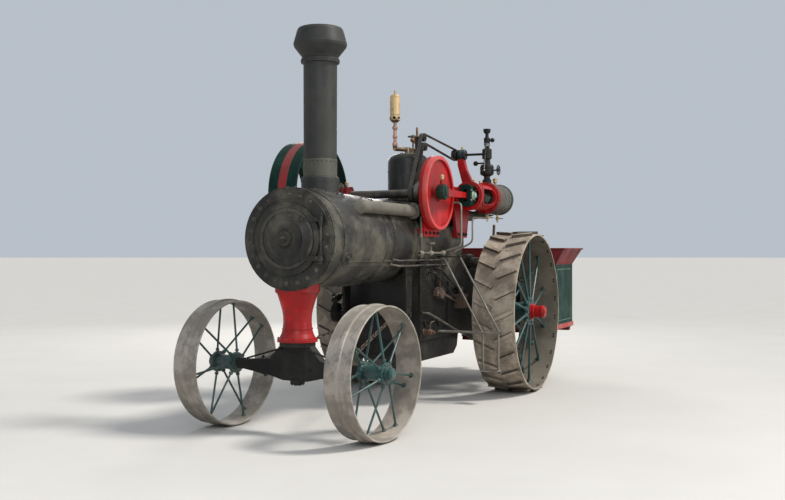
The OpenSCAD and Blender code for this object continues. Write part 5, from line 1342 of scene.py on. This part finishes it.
def makePipework(t):
    s = newShape("frameBlack")
    for finish, radius, bend, *corners in t["pipes"]:
        tube(s, bent([at(*p) for p in corners], bend), radius, finish=finish)
    for x in t["unions"]:
        lathe(s, at(x, t["y"], 1.49), ahead, t["union"], 8, "palePipe")
    lathe(s, at(t["unions"][2], t["y"], 1.66), up, t["tee"], 8, "palePipe")
    handWheel(s, at(1.33, t["y"], 1.585), up, 0.035, 0.005, finish="palePipe")
    for z, x in product((1.42, 1.37), t["clips"]):      # clips of the two long pipes
        slab(s, at(x - 0.012, 0.384, z - 0.016), at(x + 0.012, 0.416, z + 0.016))
    for x0, z0, x1, z1 in t["stays"]:   # from the firebox down to the side plate
        p, q = at(x0, 0.39, z0), at(x1, 0.408, z1)
        tube(s, bent([p, p + left * 0.075, q + left * 0.0525, q], 0.05), 0.011)
        flangeOn(s, x0, 0.385, z0)
        flangeOn(s, x1, 0.405, z1)
    flangeOn(s, 1.43, 0.385, 0.907)
    stepLow, stepHigh = boxOf("side_step")
    for y in (0.0, 0.18):               # hangers of the step
        top, foot = at(1.03, 0.44 + y, 1.46), Vector((stepLow.x + 0.052, 0.85 + y, stepHigh.z - 0.01))
        tube(s, [top, foot], 0.0095, finish="paleBracket")
        rivet(s, top, up, 0.016)
        rivet(s, foot, up, 0.014)
    slab(s, at(1.018, 0.384, 1.446), at(1.042, 0.64, 1.458))
    lathe(s, at(1.40, 0.385, 0.72), left, t["cock"], 14, "rustBrown")   # blow-off cock at the firebox's foot
    tube(s, [at(1.40, 0.457, 0.74), at(1.40, 0.457, 0.81), at(1.31, 0.457, 0.82)], 0.007, 8,
         finish="rustBrown")
    for x, face in ((1.60, -1), (1.64, 1)):     # bolts of the exhaust pipe's flange
        nutRing(s, at(x, 0.362, 1.895), ahead * face, 0.067, 8, 0.007, 0.2, finish="pipeDust")
    for x, z in product((0.47, 0.60), (0.93, 1.04)):    # the pump's cover
        nut(s, at(x, 0.485, z), left, 0.010, spin=x, finish="rustBrown")
    nutRing(s, at(0.535, 0.445, 1.13), up, 0.018, 4, 0.005, finish="rustBrown")
    for x in (0.985, 1.125):
        nut(s, at(x, 0.43, 1.09), left, 0.010, finish="paleBracket")
    makePiece("pipework", "engine", s)


underTrim = dict(
    rows=((0.42, 1.42, 0.345, 0.615, 16, 0.006, None), (-1.66, -0.32, 0.385, 0.565, 22, 0.008, "dullRed")),
    treads=6, hangers=((1.62, 1.30), (1.68, 1.30), (1.65, 1.22), (1.65, 0.98)),
)


def makeUnderTrim(t):
    s = newShape("frameBlack")
    for side in (-1, 1):                # edges of the ash pan and of the frame beams
        for x0, x1, y, z, count, size, finish in t["rows"]:
            rivetRow(s, (x0, side * y, z), (x1, side * y, z), count, left * side, size, finish)
        for x, z in t["hangers"]:       # hangers of the steering roller
            nut(s, at(x, side * 0.342, z), left * side, 0.010, spin=x * 9)
    slab(s, at(1.44, -0.22, 0.50), at(1.462, 0.22, 0.61), 0.004)        # damper door of the ash pan
    for y in (-0.16, 0.16):
        tube(s, [at(1.458, y - 0.03, 0.612), at(1.458, y + 0.03, 0.612)], 0.010)
    for k in range(t["treads"]):        # treads of the step
        x = 0.96 + k * 0.02
        tube(s, [at(x, 0.86, 0.332), at(x, 1.02, 0.332)], 0.0035, 6)
    for y in (0.86, 1.02):
        nut(s, at(1.01, y, 0.32), -up, 0.012)
    nuts(s, [(at(-1.76, y, 0.585), up) for y in (-0.06, 0.06)], 0.012)
    makePiece("under_trim", "engine", s)


makeSmokeboxTrim(smokeboxTrim)
makeDoorTrim(doorTrim)
makeStackTrim(stackTrim)
makeBarrelTrim(barrelTrim)
makeWhistleTrim(whistleTrim)
print("boiler, stack and whistle trimmed")
makeCylinderTrim(cylinderTrim)
makeGovernorTrim(governorTrim)
makeBearingTrim(bearingTrim)
makeCrankTrim(crankTrim)
makeFlywheelTrim(flywheelTrim)
makeRodTrim(rodTrim)
makeCrossheadTrim(rodTrim)
print("engine trimmed")
for side, name in ((1, "left"), (-1, "right")):
    makeRearWheel(side, name, rearWheel)
    makeFrontWheel(side, name, frontWheel)
    makeChain(side, name, chains)
makePedestalTrim(pedestalTrim)
makeAxleTrim(axleTrim)
makeGearTrim("main_gear_trim", "counter", "main_gear", 0.10, 8, 0.042)
makeGearTrim("idle_gear_trim", "idle", "intermediate_gear", 0.07, 6, 0.040)
print("wheels, chains and gears trimmed")
makeBunkerTrim(bunkerTrim)
makeDeckTrim(deckTrim)
makeCabTrim(cabTrim)
makeFireDoorTrim()
makePipework(sidePipes)
makeUnderTrim(underTrim)
print("platform, pipes and bunker trimmed")

makeCamera(camera)
makeLights()
makeFloor()
print("camera, lights and floor made")
